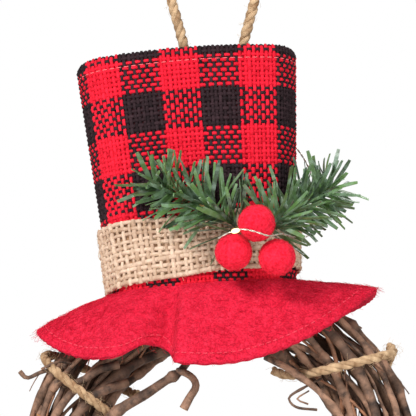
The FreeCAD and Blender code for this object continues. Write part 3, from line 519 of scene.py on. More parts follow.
@dataclass
class Plants:
    """Places for small repeated pieces, in millimetres."""

    spots: list[Any] = field(default_factory=list)
    headings: list[Any] = field(default_factory=list)
    faces: list[Any] = field(default_factory=list)
    sizes: list[Any] = field(default_factory=list)
    tints: list[float] = field(default_factory=list)

    def add(self, spot: Any, heading: Any, face: Any, size: Any, tint: float = 0.5) -> None:
        """Adds one piece: where, which way it points and faces, and its size on each axis."""
        self.spots.append(spot)
        self.headings.append(heading)
        self.faces.append(face)
        self.sizes.append(size)
        self.tints.append(tint)

    def grow(self, name: str, seed_mesh: Mesh, finish: Finish, slot: Optional[str]) -> Piece:
        """Sets the small mesh on every place and returns the finished piece."""
        mesh = bpy.data.meshes.new(name + "_places")
        mesh.vertices.add(len(self.spots))
        mesh.vertices.foreach_set("co", (np.array(self.spots, float) * MM).ravel())
        for label, values in (("heading", self.headings), ("face", self.faces), ("grow", self.sizes),
                              ("tint", self.tints)):
            store(mesh, label, values)
        guide = bpy.data.objects.new(name + "_places", mesh)
        seed = bpy.data.objects.new(name + "_seed", seed_mesh)
        bpy.context.collection.objects.link(guide)
        bpy.context.collection.objects.link(seed)
        planted = grown(guide, plant_tree(), {"Piece": seed, "Finish": finish.material()})
        bpy.data.objects.remove(seed)
        return finished(name, planted)


def faced(name: str, points: Array, faces: Iterable[Sequence[int]], smooth: bool = True) -> Mesh:
    """Returns a mesh of points in millimetres and faces, with its normals pointing outwards."""
    mesh = bpy.data.meshes.new(name)
    mesh.from_pydata([tuple(p) for p in np.asarray(points, float) * MM], [], [list(f) for f in faces])
    work = bmesh.new()
    work.from_mesh(mesh)
    bmesh.ops.recalc_face_normals(work, faces=work.faces)
    for face in work.faces:
        face.smooth = smooth
    work.to_mesh(mesh)
    work.free()
    return mesh


def shell(name: str, outer: Array, inner: Array, closed: bool) -> Mesh:
    """Returns a thin closed wall between two grids of points.

    Args:
        name: The mesh's name.
        outer: The outer face's points, rows by columns by three.
        inner: The inner face's points in the same order.
        closed: Whether the columns go round and meet.

    Returns:
        The mesh, with the outer face's points first, row by row.
    """
    rows, columns = outer.shape[:2]
    both = np.concatenate([outer.reshape(-1, 3), inner.reshape(-1, 3)])
    shift = rows * columns
    faces = []
    wide = columns if closed else columns - 1
    for row in range(rows - 1):
        for column in range(wide):
            a = row * columns + column
            b = row * columns + (column + 1) % columns
            faces.append((a, b, b + columns, a + columns))
            faces.append((a + shift, a + columns + shift, b + columns + shift, b + shift))
    for row in (0, rows - 1):
        for column in range(wide):
            a = row * columns + column
            b = row * columns + (column + 1) % columns
            faces.append((a, a + shift, b + shift, b))
    if not closed:
        for column in (0, columns - 1):
            for row in range(rows - 1):
                a = row * columns + column
                faces.append((a, a + columns, a + columns + shift, a + shift))
    return faced(name, both, faces)


def dressed(mesh: Mesh, finish: Finish) -> Mesh:
    """Gives a mesh one finish and returns it."""
    mesh.materials.clear()
    mesh.materials.append(finish.material())
    return mesh


def oval_outline(width: float, depth: float, end_radius: float, start_x: float, count: int) -> Array:
    """Samples a four-arc oval at equal steps of its length, from a point of its front, to the right.

    Args:
        width: Half the oval's width.
        depth: Half the oval's depth.
        end_radius: Radius of its two end arcs.
        start_x: Where on the front side the outline starts.
        count: How many points.

    Returns:
        The points, x and y.
    """
    reach = width - end_radius
    rise = depth - end_radius
    sag = (reach ** 2 - rise ** 2) / (2 * rise)
    big = depth + sag
    half_end = math.atan2(sag, reach)
    side_angle = math.pi / 2 - half_end
    pieces = []
    steps = 400
    for centre, radius, low, high in (
            ((0, sag), big, -math.pi / 2 - side_angle, -math.pi / 2 + side_angle),
            ((reach, 0), end_radius, -half_end, half_end),
            ((0, -sag), big, math.pi / 2 - side_angle, math.pi / 2 + side_angle),
            ((-reach, 0), end_radius, math.pi - half_end, math.pi + half_end)):
        angles = np.linspace(low, high, steps, endpoint=False)
        pieces.append(np.stack([centre[0] + radius * np.cos(angles),
                                centre[1] + radius * np.sin(angles)], 1))
    ring = np.concatenate(pieces)
    front = np.argmin(np.abs(ring[:steps, 0] - start_x))
    ring = np.roll(ring, -front, axis=0)
    loop = np.concatenate([ring, ring[:1]])
    lengths = run_lengths(loop)
    return along_line(loop, lengths, np.linspace(0, lengths[-1], count, endpoint=False))


# ---------------------------------------------------------------- weave


@dataclass
class PlainWeave:
    """Over-and-under cloth on any surface, drawn yarn by yarn."""

    surface: Surface
    warps: int
    rows: Array
    radius: float
    rise: float
    warp_red: Callable[[int], bool]
    weft_red: Callable[[int], bool]
    closed: bool = True
    unevenness: float = 0.13
    row_wobble: float = 0.12
    seed: int = 5
    edge: float = 0.0

    def lines(self) -> dict[bool, Strands]:
        """Returns the yarns, red ones under True and the others under False."""
        chance = np.random.default_rng(self.seed)
        found = {True: Strands(), False: Strands()}
        count = self.warps
        rows = np.asarray(self.rows, float)
        spots = (np.arange(count) + 0.5) / count
        shift = chance.normal(0, 0.09 / count, count)
        wave = chance.uniform(0, 2 * math.pi, len(rows))
        heights = np.empty(2 * len(rows) - 1)
        heights[0::2] = rows
        heights[1::2] = (rows[:-1] + rows[1:]) / 2
        if self.edge:
            heights = np.concatenate([[rows[0] - self.edge], heights, [rows[-1] + self.edge]])
        first = 1 if self.edge else 0
        crossings = np.arange(len(rows))
        for number in range(count):
            lift = np.zeros(len(heights))
            over = np.where((crossings + number) % 2 == 0, -1, 1)
            lift[first + 2 * crossings] = over * self.rise
            share = np.full(len(heights), spots[number] + shift[number])
            points = self.surface(share, heights, lift)
            thick = self.radius * (1 + chance.normal(0, self.unevenness))
            found[self.warp_red(number)].add(points, thick, chance.uniform(0, 1))
        for row, height in enumerate(rows):
            across = np.arange(2 * count if self.closed else 2 * count + 1) / (2 * count)
            lift = np.zeros(len(across))
            lift[1::2] = np.where((row + np.arange(count)) % 2 == 0, 1, -1) * self.rise
            level = height + self.row_wobble * np.sin(2 * math.pi * 5 * across + wave[row])
            points = self.surface(across, level, lift)
            thick = self.radius * (1 + chance.normal(0, self.unevenness))
            found[self.weft_red(row)].add(points, thick, chance.uniform(0, 1), self.closed)
        return found


def striped(width: int, start: int = 0) -> Callable[[int], bool]:
    """Returns the rule that makes every other group of yarns red."""
    return lambda number: ((number + start) // width) % 2 == 0


# ---------------------------------------------------------------- hat


@dataclass
class HatFrame:
    """Where the hat stands, leaning back and to one side."""

    x: float = -4.4
    y: float = -8.0
    z: float = -192.2
    lean: float = 6.0
    roll: float = 4.5

    def matrix(self) -> Array:
        """Returns the hat's turn."""
        lean, roll = math.radians(self.lean), math.radians(self.roll)
        back = np.array([[1, 0, 0],
                         [0, math.cos(lean), math.sin(lean)],
                         [0, -math.sin(lean), math.cos(lean)]])
        side = np.array([[math.cos(roll), 0, -math.sin(roll)],
                         [0, 1, 0],
                         [math.sin(roll), 0, math.cos(roll)]])
        return side @ back

    def place(self, points: Any) -> Array:
        """Returns points of the hat in the row frame."""
        return np.asarray(points, float) @ self.matrix().T + np.array([self.x, self.y, self.z])

    def turn(self, directions: Any) -> Array:
        """Returns directions of the hat in the row frame."""
        return np.asarray(directions, float) @ self.matrix().T


HAT = HatFrame()


@dataclass
class Crown:
    """The woven crown, its liner and its sunk top."""

    height: float = 110.0
    base_width: float = 43.0
    base_depth: float = 22.0
    top_width: float = 52.0
    top_depth: float = 25.0
    end_share: float = 0.8
    check_start: float = 5.6
    checks: int = 14
    warps_per_check: int = 9
    row_pitch: float = 2.33
    rows_per_check: int = 8
    first_row_edge: float = 90.3
    front_stretch: float = 0.055
    plain_below: float = 5.2
    dark_above: float = 106.6
    yarn: float = 0.88
    rise: float = 0.48
    cloth_middle: float = -0.75
    fold_below: float = 1.3
    fold_radius: float = 0.95
    stitches: int = 74
    stitches_below: float = 6.2
    samples: int = 1400

    def __post_init__(self) -> None:
        """Samples the outline at the foot and at the rim."""
        self.rings = []
        for width, depth in ((self.base_width, self.base_depth), (self.top_width, self.top_depth)):
            ring = oval_outline(width, depth, self.end_share * depth, self.check_start * width / 52,
                                self.samples)
            ahead = unit(np.roll(ring, -1, 0) - np.roll(ring, 1, 0))
            out = np.stack([ahead[:, 1], -ahead[:, 0]], 1)
            self.rings.append((ring, out))

    def wall(self, share: Array, height: Array, lift: Array) -> Array:
        """Returns points of the crown's side in hat coordinates.

        Args:
            share: How far round, from 0 to 1.
            height: Height above the foot.
            lift: Distance outside the CAD wall.

        Returns:
            The points.
        """
        spots = (np.asarray(share) % 1.0) * self.samples
        low = np.floor(spots).astype(int) % self.samples
        part = (spots - np.floor(spots))[..., None]
        nearby = (low + 1) % self.samples
        tall = (np.asarray(height) / self.height)[..., None]
        flat = [ring[low] * (1 - part) + ring[nearby] * part for ring, _ in self.rings]
        outs = [out[low] * (1 - part) + out[nearby] * part for _, out in self.rings]
        point = flat[0] * (1 - tall) + flat[1] * tall
        out = unit(outs[0] * (1 - tall) + outs[1] * tall)
        point = point + out * np.asarray(lift)[..., None]
        return np.concatenate([point, np.asarray(height)[..., None]], -1)

    def cloth(self, share: Array, along: Array, lift: Array) -> Array:
        """Returns points of the cloth, which folds over the rim and goes down inside."""
        top = self.height - self.fold_below
        share = share + self.front_stretch * np.sin(2 * math.pi * share) / (2 * math.pi)
        along = np.asarray(along, float)
        bend = self.fold_radius
        past = np.clip((along - top) / bend, 0, math.pi)
        inside = np.maximum(along - top - bend * math.pi, 0)
        out = self.cloth_middle - bend + (bend + lift) * np.cos(past)
        height = np.where(along < top, along, top + (bend + lift) * np.sin(past) - inside)
        return HAT.place(self.wall(share, height, out))

    def build(self) -> None:
        """Makes the yarns, the backing of painted shade, the liner and the top panel."""
        count = self.checks * self.warps_per_check
        first = (self.first_row_edge - self.row_pitch / 2) % self.row_pitch - self.row_pitch
        rows = np.arange(first, self.height + 4.6, self.row_pitch)

        def weft_red(row: int) -> bool:
            """Tells whether a weft yarn is red."""
            if rows[row] < self.plain_below:
                return True
            if rows[row] > self.dark_above:
                return False
            check = (rows[row] - self.first_row_edge) / (self.row_pitch * self.rows_per_check)
            return math.floor(check) % 2 == 0

        def warp_red(number: int) -> bool:
            """Tells whether a warp yarn is red."""
            return (number // self.warps_per_check) % 2 == 1

        weave = PlainWeave(self.cloth, count, rows, self.yarn, self.rise, warp_red, weft_red,
                           edge=0.8, seed=11)
        lines = weave.lines()
        pieces = [sweep(f"crown_yarn_{label}", lines[red], finish, 5, bark=0.3,
                        bark_grain=1.3) for red, finish, label in CHECK_YARNS]
        backing = self.backing(count, rows, warp_red, weft_red)
        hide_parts("crown_fabric")
        pieces + [self.rim_stitches()]
        self.lining()

    def backing(self, count: int, rows: Array, warp_red: Callable[[int], bool],
                # The dark sheet under the yarns: its colour is painted shade in the gaps, red or black after
                # the check.
                weft_red: Callable[[int], bool]) -> Piece:
        across = np.arange(count) / count
        levels = np.concatenate([np.arange(-1.8, self.height - 1.4, self.row_pitch),
                                 [self.height - 1.0, self.height + 0.4, self.height + 4.4]])
        share, height = np.meshgrid(across, levels)
        mesh = shell("crown_backing", self.cloth(share, height, np.full(share.shape, -0.20)),
                     self.cloth(share, height, np.full(share.shape, -0.45)), True)
        shades = []
        for level in levels:
            row = min(int(np.argmin(np.abs(rows - level))), len(rows) - 1)
            shades += [(warp_red(number) + weft_red(row)) / 2 for number in range(count)]
        store(mesh, "tint", shades + shades)
        return finished("crown_backing", dressed(mesh, GAP_SHADE_BACKING))

    def rim_stitches(self) -> Piece:
        """Makes the row of pale stitches below the rim."""
        places = Plants()
        count = self.stitches
        spots = (np.arange(count) + 0.5) / count
        level = np.full(count, self.height - self.stitches_below)
        here = self.cloth(spots, level, np.full(count, 0.95))
        ahead = self.cloth(spots + 0.001, level, np.full(count, 0.95)) - here
        out = self.cloth(spots, level, np.full(count, 1.95)) - here
        for number in range(count):
            places.add(here[number], ahead[number], out[number], (0.22, 0.22, 2.3), number * 0.37 % 1)
        return places.grow("crown_rim_stitches", capsule_mesh(), PALE_THREAD, "buffalo_check")

    def lining(self) -> None:
        """Makes the inner wall and gives the sunk top panel the same finish."""
        levels = np.array([1.3, 2.0, 28.0, 56.0, 84.0, 106.5, 107.2])
        share, height = np.meshgrid(np.arange(160) / 160, levels)
        wall = shell("crown_inner_wall", HAT.place(self.wall(share, height, np.full(share.shape, -1.75))),
                     HAT.place(self.wall(share, height, np.full(share.shape, -2.75))), True)
        inner = finished("crown_inner_wall", dressed(wall, LINER))
        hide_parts("crown_liner")
        coat("crown_top_panel", LINER)


def capsule_mesh() -> Mesh:
    """Returns a small rounded rod of unit half width and unit length, centred."""
    points = []
    for height, width in ((-0.5, 0.45), (-0.38, 0.95), (0.0, 1.1), (0.38, 0.95), (0.5, 0.45)):
        for side in range(6):
            angle = side * math.pi / 3
            points.append((width * math.cos(angle), width * math.sin(angle), height))
    faces = [tuple(range(6)), tuple(range(24, 30))]
    for row in range(4):
        for side in range(6):
            a, b = row * 6 + side, row * 6 + (side + 1) % 6
            faces.append((a, b, b + 6, a + 6))
    return faced("capsule", np.array(points), faces)


@dataclass
class BurlapBand:
    """The coarse burlap ribbon round the crown's foot."""

    crown: Crown
    warps: int = 80
    rows: int = 11
    pitch: float = 2.55
    yarn: float = 0.98
    rise: float = 0.45
    lift: float = 1.8
    fibres: int = 700

    def level(self, share: Array, height: Array) -> Array:
        """Returns heights on the crown, tilted so that the ribbon's edges rise to the right."""
        x = self.crown.wall(share, np.full(np.shape(share), 10.0), np.zeros(np.shape(share)))[..., 0]
        low = 3.0 + 2.4 * x / 45
        top = 29.4 + 0.6 * x / 45 + 0.4 * np.sin(share * 2 * math.pi * 3)
        return low + (top - low) * np.asarray(height) / ((self.rows - 1) * self.pitch)

    def surface(self, share: Array, height: Array, lift: Array) -> Array:
        """Returns points of the ribbon in the row frame."""
        level = self.level(share, height)
        slack = 0.35 * np.sin(share * 2 * math.pi * 7 + level * 0.1)
        return HAT.place(self.crown.wall(share, level, lift + self.lift + slack))

    def build(self) -> None:
        """Makes the ribbon's yarns, its backing and its stray fibres."""
        rows = np.arange(self.rows) * self.pitch
        weave = PlainWeave(self.surface, self.warps, rows, self.yarn, self.rise, lambda _: True,
                           lambda _: True, unevenness=0.14, row_wobble=0.45, seed=23, edge=0.9)
        yarns = sweep("hat_band_yarn", weave.lines()[True], BURLAP_YARN, 8, bark=0.5)
        share, height = np.meshgrid(np.arange(200) / 200, np.linspace(0.3, rows[-1] - 0.3, 8))
        mesh = shell("hat_band_backing", self.surface(share, height, np.full(share.shape, -0.85)),
                     self.surface(share, height, np.full(share.shape, -1.05)), True)
        backing = finished("hat_band_backing", dressed(mesh, BURLAP_BACK))
        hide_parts("hat_band")
        chance = np.random.default_rng(7)
        hairs = Strands()
        for _ in range(self.fibres):
            spot, level = chance.uniform(0, 1), chance.uniform(-0.6, rows[-1] + 0.6)
            start = self.surface(np.array([spot]), np.array([level]), np.array([0.9]))[0]
            out = self.surface(np.array([spot]), np.array([level]), np.array([1.9]))[0] - start
            hairs.add(stray(start, out, chance, 3.5), 0.07, chance.uniform(0, 1))
        fuzz = sweep("hat_band_fibres", hairs, JUTE_HAIR, 3)


def stray(start: Array, out: Array, chance: Chance, length: float) -> Array:
    """Returns a short curved fibre that leaves a surface.

    Args:
        start: Where it starts.
        out: The surface's direction outwards.
        chance: Source of random numbers.
        length: Its usual length.

    Returns:
        Its four points.
    """
    side = unit(np.cross(out, chance.normal(0, 1, 3)))
    curl = unit(np.cross(out, side)) * chance.normal(0, 0.25)
    out = unit(out)
    reach = length * chance.uniform(0.5, 1.2)
    steps = np.linspace(0, 1, 4)[:, None]
    rise = chance.uniform(0.15, 0.6)
    arch = out * np.sin(steps * 2.4) * rise * reach * 0.5
    return start + side * steps * reach + arch + curl * steps ** 2 * reach


@dataclass
class Brim:
    """The floppy two-layer felt brim."""

    crown: Crown
    foot_width: float = 42.2
    foot_depth: float = 21.2
    foot_end: float = 16.8
    foot_z: float = -1.9
    reach_side: float = 80.0
    reach_front: float = 34.0
    reach_back: float = 50.0
    side_drop: float = 11.0
    front_drop: float = 32.4
    back_drop: float = 8.0
    tilt: float = 0.035
    tip_round: float = 0.02
    felt: float = 1.3
    gap: float = 0.15
    fold_x: float = -18.0
    fold_shift: float = 5.3
    fold_width: float = 6.0
    fold_out: float = 9.5
    fold_lift: float = 12.0
    stitch_inset: float = 4.6
    stitch_pitch: float = 3.4
    stitch_length: float = 2.4
    columns: int = 700
    rows: int = 44
    fibres: int = 6000

    def points(self, angle: Array, share: Array) -> Array:
        """Returns points of the brim's upper face; share 0 is the crown's foot and 1 the hem."""
        across, side = np.cos(angle), np.sin(angle)
        foot_x = self.foot_width * across
        reach, rise = self.foot_width - self.foot_end, self.foot_depth - self.foot_end
        sag = (reach ** 2 - rise ** 2) / (2 * rise)
        big = self.foot_depth + sag
        join = reach + self.foot_end * math.cos(math.atan2(sag, reach))
        end = np.sqrt(np.maximum(self.foot_end ** 2 - (np.abs(foot_x) - reach) ** 2, 0))
        flat = np.sqrt(np.maximum(big ** 2 - foot_x ** 2, 0)) - sag
        foot_y = np.copysign(np.where(np.abs(foot_x) > join, end, flat), side)
        back = side > 0
        rounded = (np.sqrt(side ** 2 + self.tip_round) - math.sqrt(self.tip_round)) / (
            math.sqrt(1 + self.tip_round) - math.sqrt(self.tip_round))
        fall = np.where(back, self.back_drop, self.front_drop) * rounded ** (1.35 + 0.35 * across)
        hem_z = self.tilt * self.reach_side * across - self.side_drop - fall
        out = share ** 0.8
        hem_y = np.where(back, self.reach_back, self.reach_front) * side
        x = foot_x + (self.reach_side * across - foot_x) * out
        y = foot_y + (hem_y - foot_y) * out
        z = self.foot_z + (hem_z - self.foot_z) * share ** 1.35
        return np.stack([x, y, z], -1)

    def folded(self, angle: Array, share: Array) -> Array:
        """Returns the brim's points with its waves and the one deep fold at the front."""
        spot = self.points(angle, share)
        ahead = unit(self.points(angle + 0.004, share) - self.points(angle - 0.004, share))
        below = self.points(angle, np.minimum(share + 0.01, 1.0))
        above = self.points(angle, share - 0.01 * (share > 0.5))
        down = unit(below - above + 1e-9)
        out = unit(np.cross(down, ahead))
        out = np.where((out[..., 2] < 0)[..., None], -out, out)
        hem_x = self.reach_side * np.cos(angle)
        front = np.sin(angle) < 0
        past = hem_x - self.fold_x
        strength = np.where(front, 1.0, 0.0) * share ** 0.9
        right = np.where((ahead[..., 0] > 0)[..., None], ahead, -ahead)
        step = (past - 1.0) / self.fold_width
        swing = step * np.exp(-step ** 2 / 2)
        shift = -self.fold_shift * swing * strength
        lobes = 0.75 * np.exp(-((past + 27) / 11) ** 2) + 0.4 * np.exp(-((past - 15) / 12) ** 2)
        outward = self.fold_out * (swing + lobes - 0.3 * np.exp(-((past + 7) / 6) ** 2)) * strength
        beside = np.where(past < -8, 12.0, 7.0)
        lift = self.fold_lift * np.exp(-((past + 8) / beside) ** 2) * strength * share ** 2
        wave = 0.9 * np.sin(3.0 * angle + 1.0) * share ** 2 + 0.5 * np.sin(7 * angle + share * 3) * share
        forward = unit(out + np.array([0.0, -1.0, 0.0]))
        spot = spot + right * shift[..., None] + forward * outward[..., None] + out * wave[..., None]
        spot[..., 2] += lift
        return spot

    def grid(self) -> tuple[Array, Array]:
        """Returns the felt's upper face as a grid, and its directions outwards."""
        angle, share = np.meshgrid(2 * math.pi * np.arange(self.columns) / self.columns,
                                   np.linspace(0, 1, self.rows))
        top = self.folded(angle, share)
        around = np.roll(top, -1, 1) - np.roll(top, 1, 1)
        down = np.gradient(top, axis=0)
        normal = unit(np.cross(around, down))
        if normal[self.rows // 2, :, 2].mean() < 0:
            normal = -normal
        return top, normal

    def build(self) -> None:
        """Makes the two layers, the hem's stitches and the felt's fuzz."""
        top, normal = self.grid()
        step = 0.0
        for name, node in (("brim_top_felt", "brim_top"), ("brim_under_felt", "brim_under")):
            bulge = 0.18 * np.sin(np.arange(self.columns) * 0.7)[None, :, None]
            outer = top - normal * step
            inner = top - normal * (step + self.felt)
            lumps = self.lumps(top)
            outer += normal * lumps
            inner += normal * lumps * 0.6
            outer[-1] -= normal[-1] * 0.35
            inner[-1] += normal[-1] * 0.35
            outer[-1:] += unit(top[-1:] - top[-2:-1]) * (0.3 + bulge)
            inner[-1:] += unit(top[-1:] - top[-2:-1]) * (0.3 + bulge)
            mesh = shell(name, HAT.place(outer), HAT.place(inner), True)
            layer = finished(name, dressed(mesh, FELT))
            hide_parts(node)
            stitches = [self.stitches(top, normal), self.fuzz(top, normal)] if step == 0 else []
            step += self.felt + self.gap

    @staticmethod
    def lumps(top: Array) -> Array:
        """Returns how far the felt's uneven face stands out at each point."""
        heights = [0.26 * noise.fractal(Vector(spot) * 0.16, 0.7, 2.1, 4) for spot in top.reshape(-1, 3)]
        return np.array(heights).reshape(*top.shape[:2], 1)

    def fuzz(self, top: Array, normal: Array) -> Piece:
        """Makes the loose curly fibres that lie on the felt."""
        chance = np.random.default_rng(29)
        hairs = Strands()
        for _ in range(self.fibres):
            row = int(self.rows * chance.uniform(0.02, 1.0) ** 0.7) - 1
            column = chance.integers(0, self.columns)
            start, out = top[row, column], normal[row, column]
            along = unit(np.cross(out, chance.normal(0, 1, 3) * (0.6, 1.0, 1.5)))
            side = np.cross(out, along)
            steps = np.linspace(0, 1, 6)[:, None]
            reach, bend = chance.uniform(2.0, 6.5), chance.normal(0, 1.3)
            line = start + along * steps * reach + side * bend * np.sin(steps * 3.4)
            line = line + out * (0.05 + chance.uniform(0.05, 0.4) * np.sin(steps * math.pi))
            hairs.add(HAT.place(line), chance.uniform(0.035, 0.075), chance.uniform(0, 1))
        return sweep("brim_fibres", hairs, FELT_HAIR, 3)

    def stitches(self, top: Array, normal: Array) -> Piece:
        """Makes the row of stitches a little in from the hem."""
        outs = normal[-2]
        line = np.array([along_line(path, run_lengths(path), self.stitch_inset)
                         for path in np.swapaxes(top[::-1], 0, 1)])
        loop = np.concatenate([line, line[:1]])
        lengths = run_lengths(loop)
        places = Plants()
        for number in range(int(lengths[-1] / self.stitch_pitch)):
            gone = number * self.stitch_pitch
            here = along_line(loop, lengths, gone)
            there = along_line(loop, lengths, gone + self.stitch_length)
            out = outs[int(np.searchsorted(lengths, gone)) % self.columns]
            places.add(HAT.place((here + there) / 2 + out * 0.12), HAT.turn(there - here), HAT.turn(out),
                       (0.2, 0.28, self.stitch_length))
        return places.grow("brim_stitches", capsule_mesh(), RED_THREAD, "red_felt")


# ---------------------------------------------------------------- twine


def resampled(points: Array, step: float) -> Array:
    """Returns a smooth line through the points, with even steps."""
    points = np.asarray(points, float)
    padded = np.concatenate([[2 * points[0] - points[1]], points, [2 * points[-1] - points[-2]]])
    shares = np.linspace(0, 1, 8, endpoint=False)[:, None]
    runs = []
    for a, b, c, d in zip(padded, padded[1:], padded[2:], padded[3:]):
        runs.append(0.5 * (2 * b + (c - a) * shares + (2 * a - 5 * b + 4 * c - d) * shares ** 2
                           + (3 * b - a - 3 * c + d) * shares ** 3))
    line = np.concatenate(runs + [points[-1:]])
    lengths = run_lengths(line)
    return along_line(line, lengths, np.linspace(0, lengths[-1], max(int(lengths[-1] / step), 3)))


def carried_sides(line: Array) -> tuple[Array, Array]:
    """Returns two directions across a line that turn as little as possible along it."""
    ahead = unit(np.gradient(line, axis=0))
    first = np.cross(ahead[0], (0.31, 0.93, 0.17))
    sides = [first / np.linalg.norm(first)]
    for direction in ahead[1:]:
        side = sides[-1] - direction * np.dot(sides[-1], direction)
        sides.append(side / np.linalg.norm(side))
    side = np.array(sides)
    return side, np.cross(ahead, side)


@dataclass
class Twine:
    """Three-ply jute twine, laid along any line."""

    plies: int = 3
    ply_radius: float = 1.40
    lay_radius: float = 1.22
    pitch: float = 12.5
    step: float = 1.5
    hairs_per_mm: float = 1.3
    seed: int = 3

    def lay(self, route: Array, strands: Strands, hairs: Strands) -> None:
        """Adds the plies and stray fibres of one length of twine.

        Args:
            route: The twine's centre line.
            strands: Where the plies go.
            hairs: Where the fibres go.
        """
        chance = np.random.default_rng(self.seed + len(strands.lines))
        line = resampled(route, self.step)
        side, other = carried_sides(line)
        along = np.arange(len(line)) * self.step
        for ply in range(self.plies):
            angle = 2 * math.pi * (along / self.pitch + ply / self.plies)
            slack = 1 + 0.06 * np.sin(along * 0.21 + 2.0 * ply)
            out = side * np.cos(angle)[:, None] + other * np.sin(angle)[:, None]
            uneven = chance.normal(0, 0.03, len(line))
            radius = self.ply_radius * (1 + 0.08 * np.sin(along * 0.33 + 4 * ply) + uneven)
            strands.add(line + out * (self.lay_radius * slack)[:, None], radius, chance.uniform(0, 1))
        for _ in range(int(len(line) * self.step * self.hairs_per_mm)):
            spot = chance.integers(0, len(line) - 1)
            turn = chance.uniform(0, 2 * math.pi)
            out = side[spot] * math.cos(turn) + other[spot] * math.sin(turn)
            fibre = stray(line[spot] + out * 2.3, out, chance, 4.0)
            hairs.add(fibre, 0.055, chance.uniform(0, 1))


@dataclass
class HangingLoop:
    """The loop of twine that the figure hangs from, with a knot at each end inside the crown."""

    route: tuple = (
        (-10.6, 0.6, -97.0), (-12.3, 0.2, -83.5), (-16.3, -0.5, -67.5), (-20.9, -0.4, -51.0),
        (-23.9, 0.2, -34.8), (-22.4, 0.5, -18.5), (-15.8, 0.2, -5.0), (-5.6, 0.0, 2.6),
        (5.9, 0.0, 2.6), (16.0, -0.2, -5.3), (22.3, -0.5, -19.0), (23.5, -0.2, -35.2),
        (20.5, 0.4, -51.4), (16.1, 0.5, -67.2), (12.5, -0.2, -83.0), (10.9, 0.4, -97.0))
    length: float = 225.0
    diameter: float = 5.2

    def line(self) -> Array:
        """Returns points of the loop's smooth centre line."""
        data = bpy.data.curves.new("hanging_loop_line", "CURVE")
        data.dimensions = "3D"
        data.resolution_u = 12
        spline = data.splines.new("NURBS")
        spline.points.add(len(self.route) - 1)
        for point, spot in zip(spline.points, self.route):
            point.co = (*(v * MM for v in spot), 1.0)
        spline.order_u = 3
        spline.use_endpoint_u = True
        holder = bpy.data.objects.new("hanging_loop_line", data)
        bpy.context.collection.objects.link(holder)
        graph = bpy.context.evaluated_depsgraph_get()
        mesh = bpy.data.meshes.new_from_object(holder.evaluated_get(graph), depsgraph=graph)
        points = np.array([v.co for v in mesh.vertices]) / MM
        bpy.data.objects.remove(holder)
        return points

    def build(self) -> None:
        """Makes the loop, its fibres and its knots."""
        line = self.line()
        strands, hairs = Strands(), Strands()
        Twine(seed=41).lay(line, strands, hairs)
        loop = sweep("hanging_loop_twine", strands, JUTE, 8)
        fuzz = sweep("hanging_loop_fibres", hairs, JUTE_HAIR, 3)
        knots = self.knots(line)
        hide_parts("hanging_loop")
        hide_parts("loop_knots")

    def knots(self, line: Array) -> Piece:
        """Makes an overhand knot under each end of the line."""
        strands = Strands()
        turns = np.linspace(0, 2 * math.pi, 15)
        ends = (line[0], line[-1])
        for end in ends:
            knot = np.stack([(2 + np.cos(3 * turns)) * np.cos(2 * turns) * 1.25,
                             (2 + np.cos(3 * turns)) * np.sin(2 * turns) * 1.4,
                             np.sin(3 * turns) * 2.2], 1) + end + (0, 0, -4.2)
            strands.add(resampled(knot, 0.9), 2.0, 0.6)
        for end in ends:
            tag = resampled([end + (0.5, 0, -5), end + (1.5, 1, -9), end + (1, 2, -11)], 1.0)
            strands.add(tag, 1.6, 0.4)
        return sweep("hanging_loop_knots", strands, JUTE, 8)


# ---------------------------------------------------------------- greenery, balls and lights


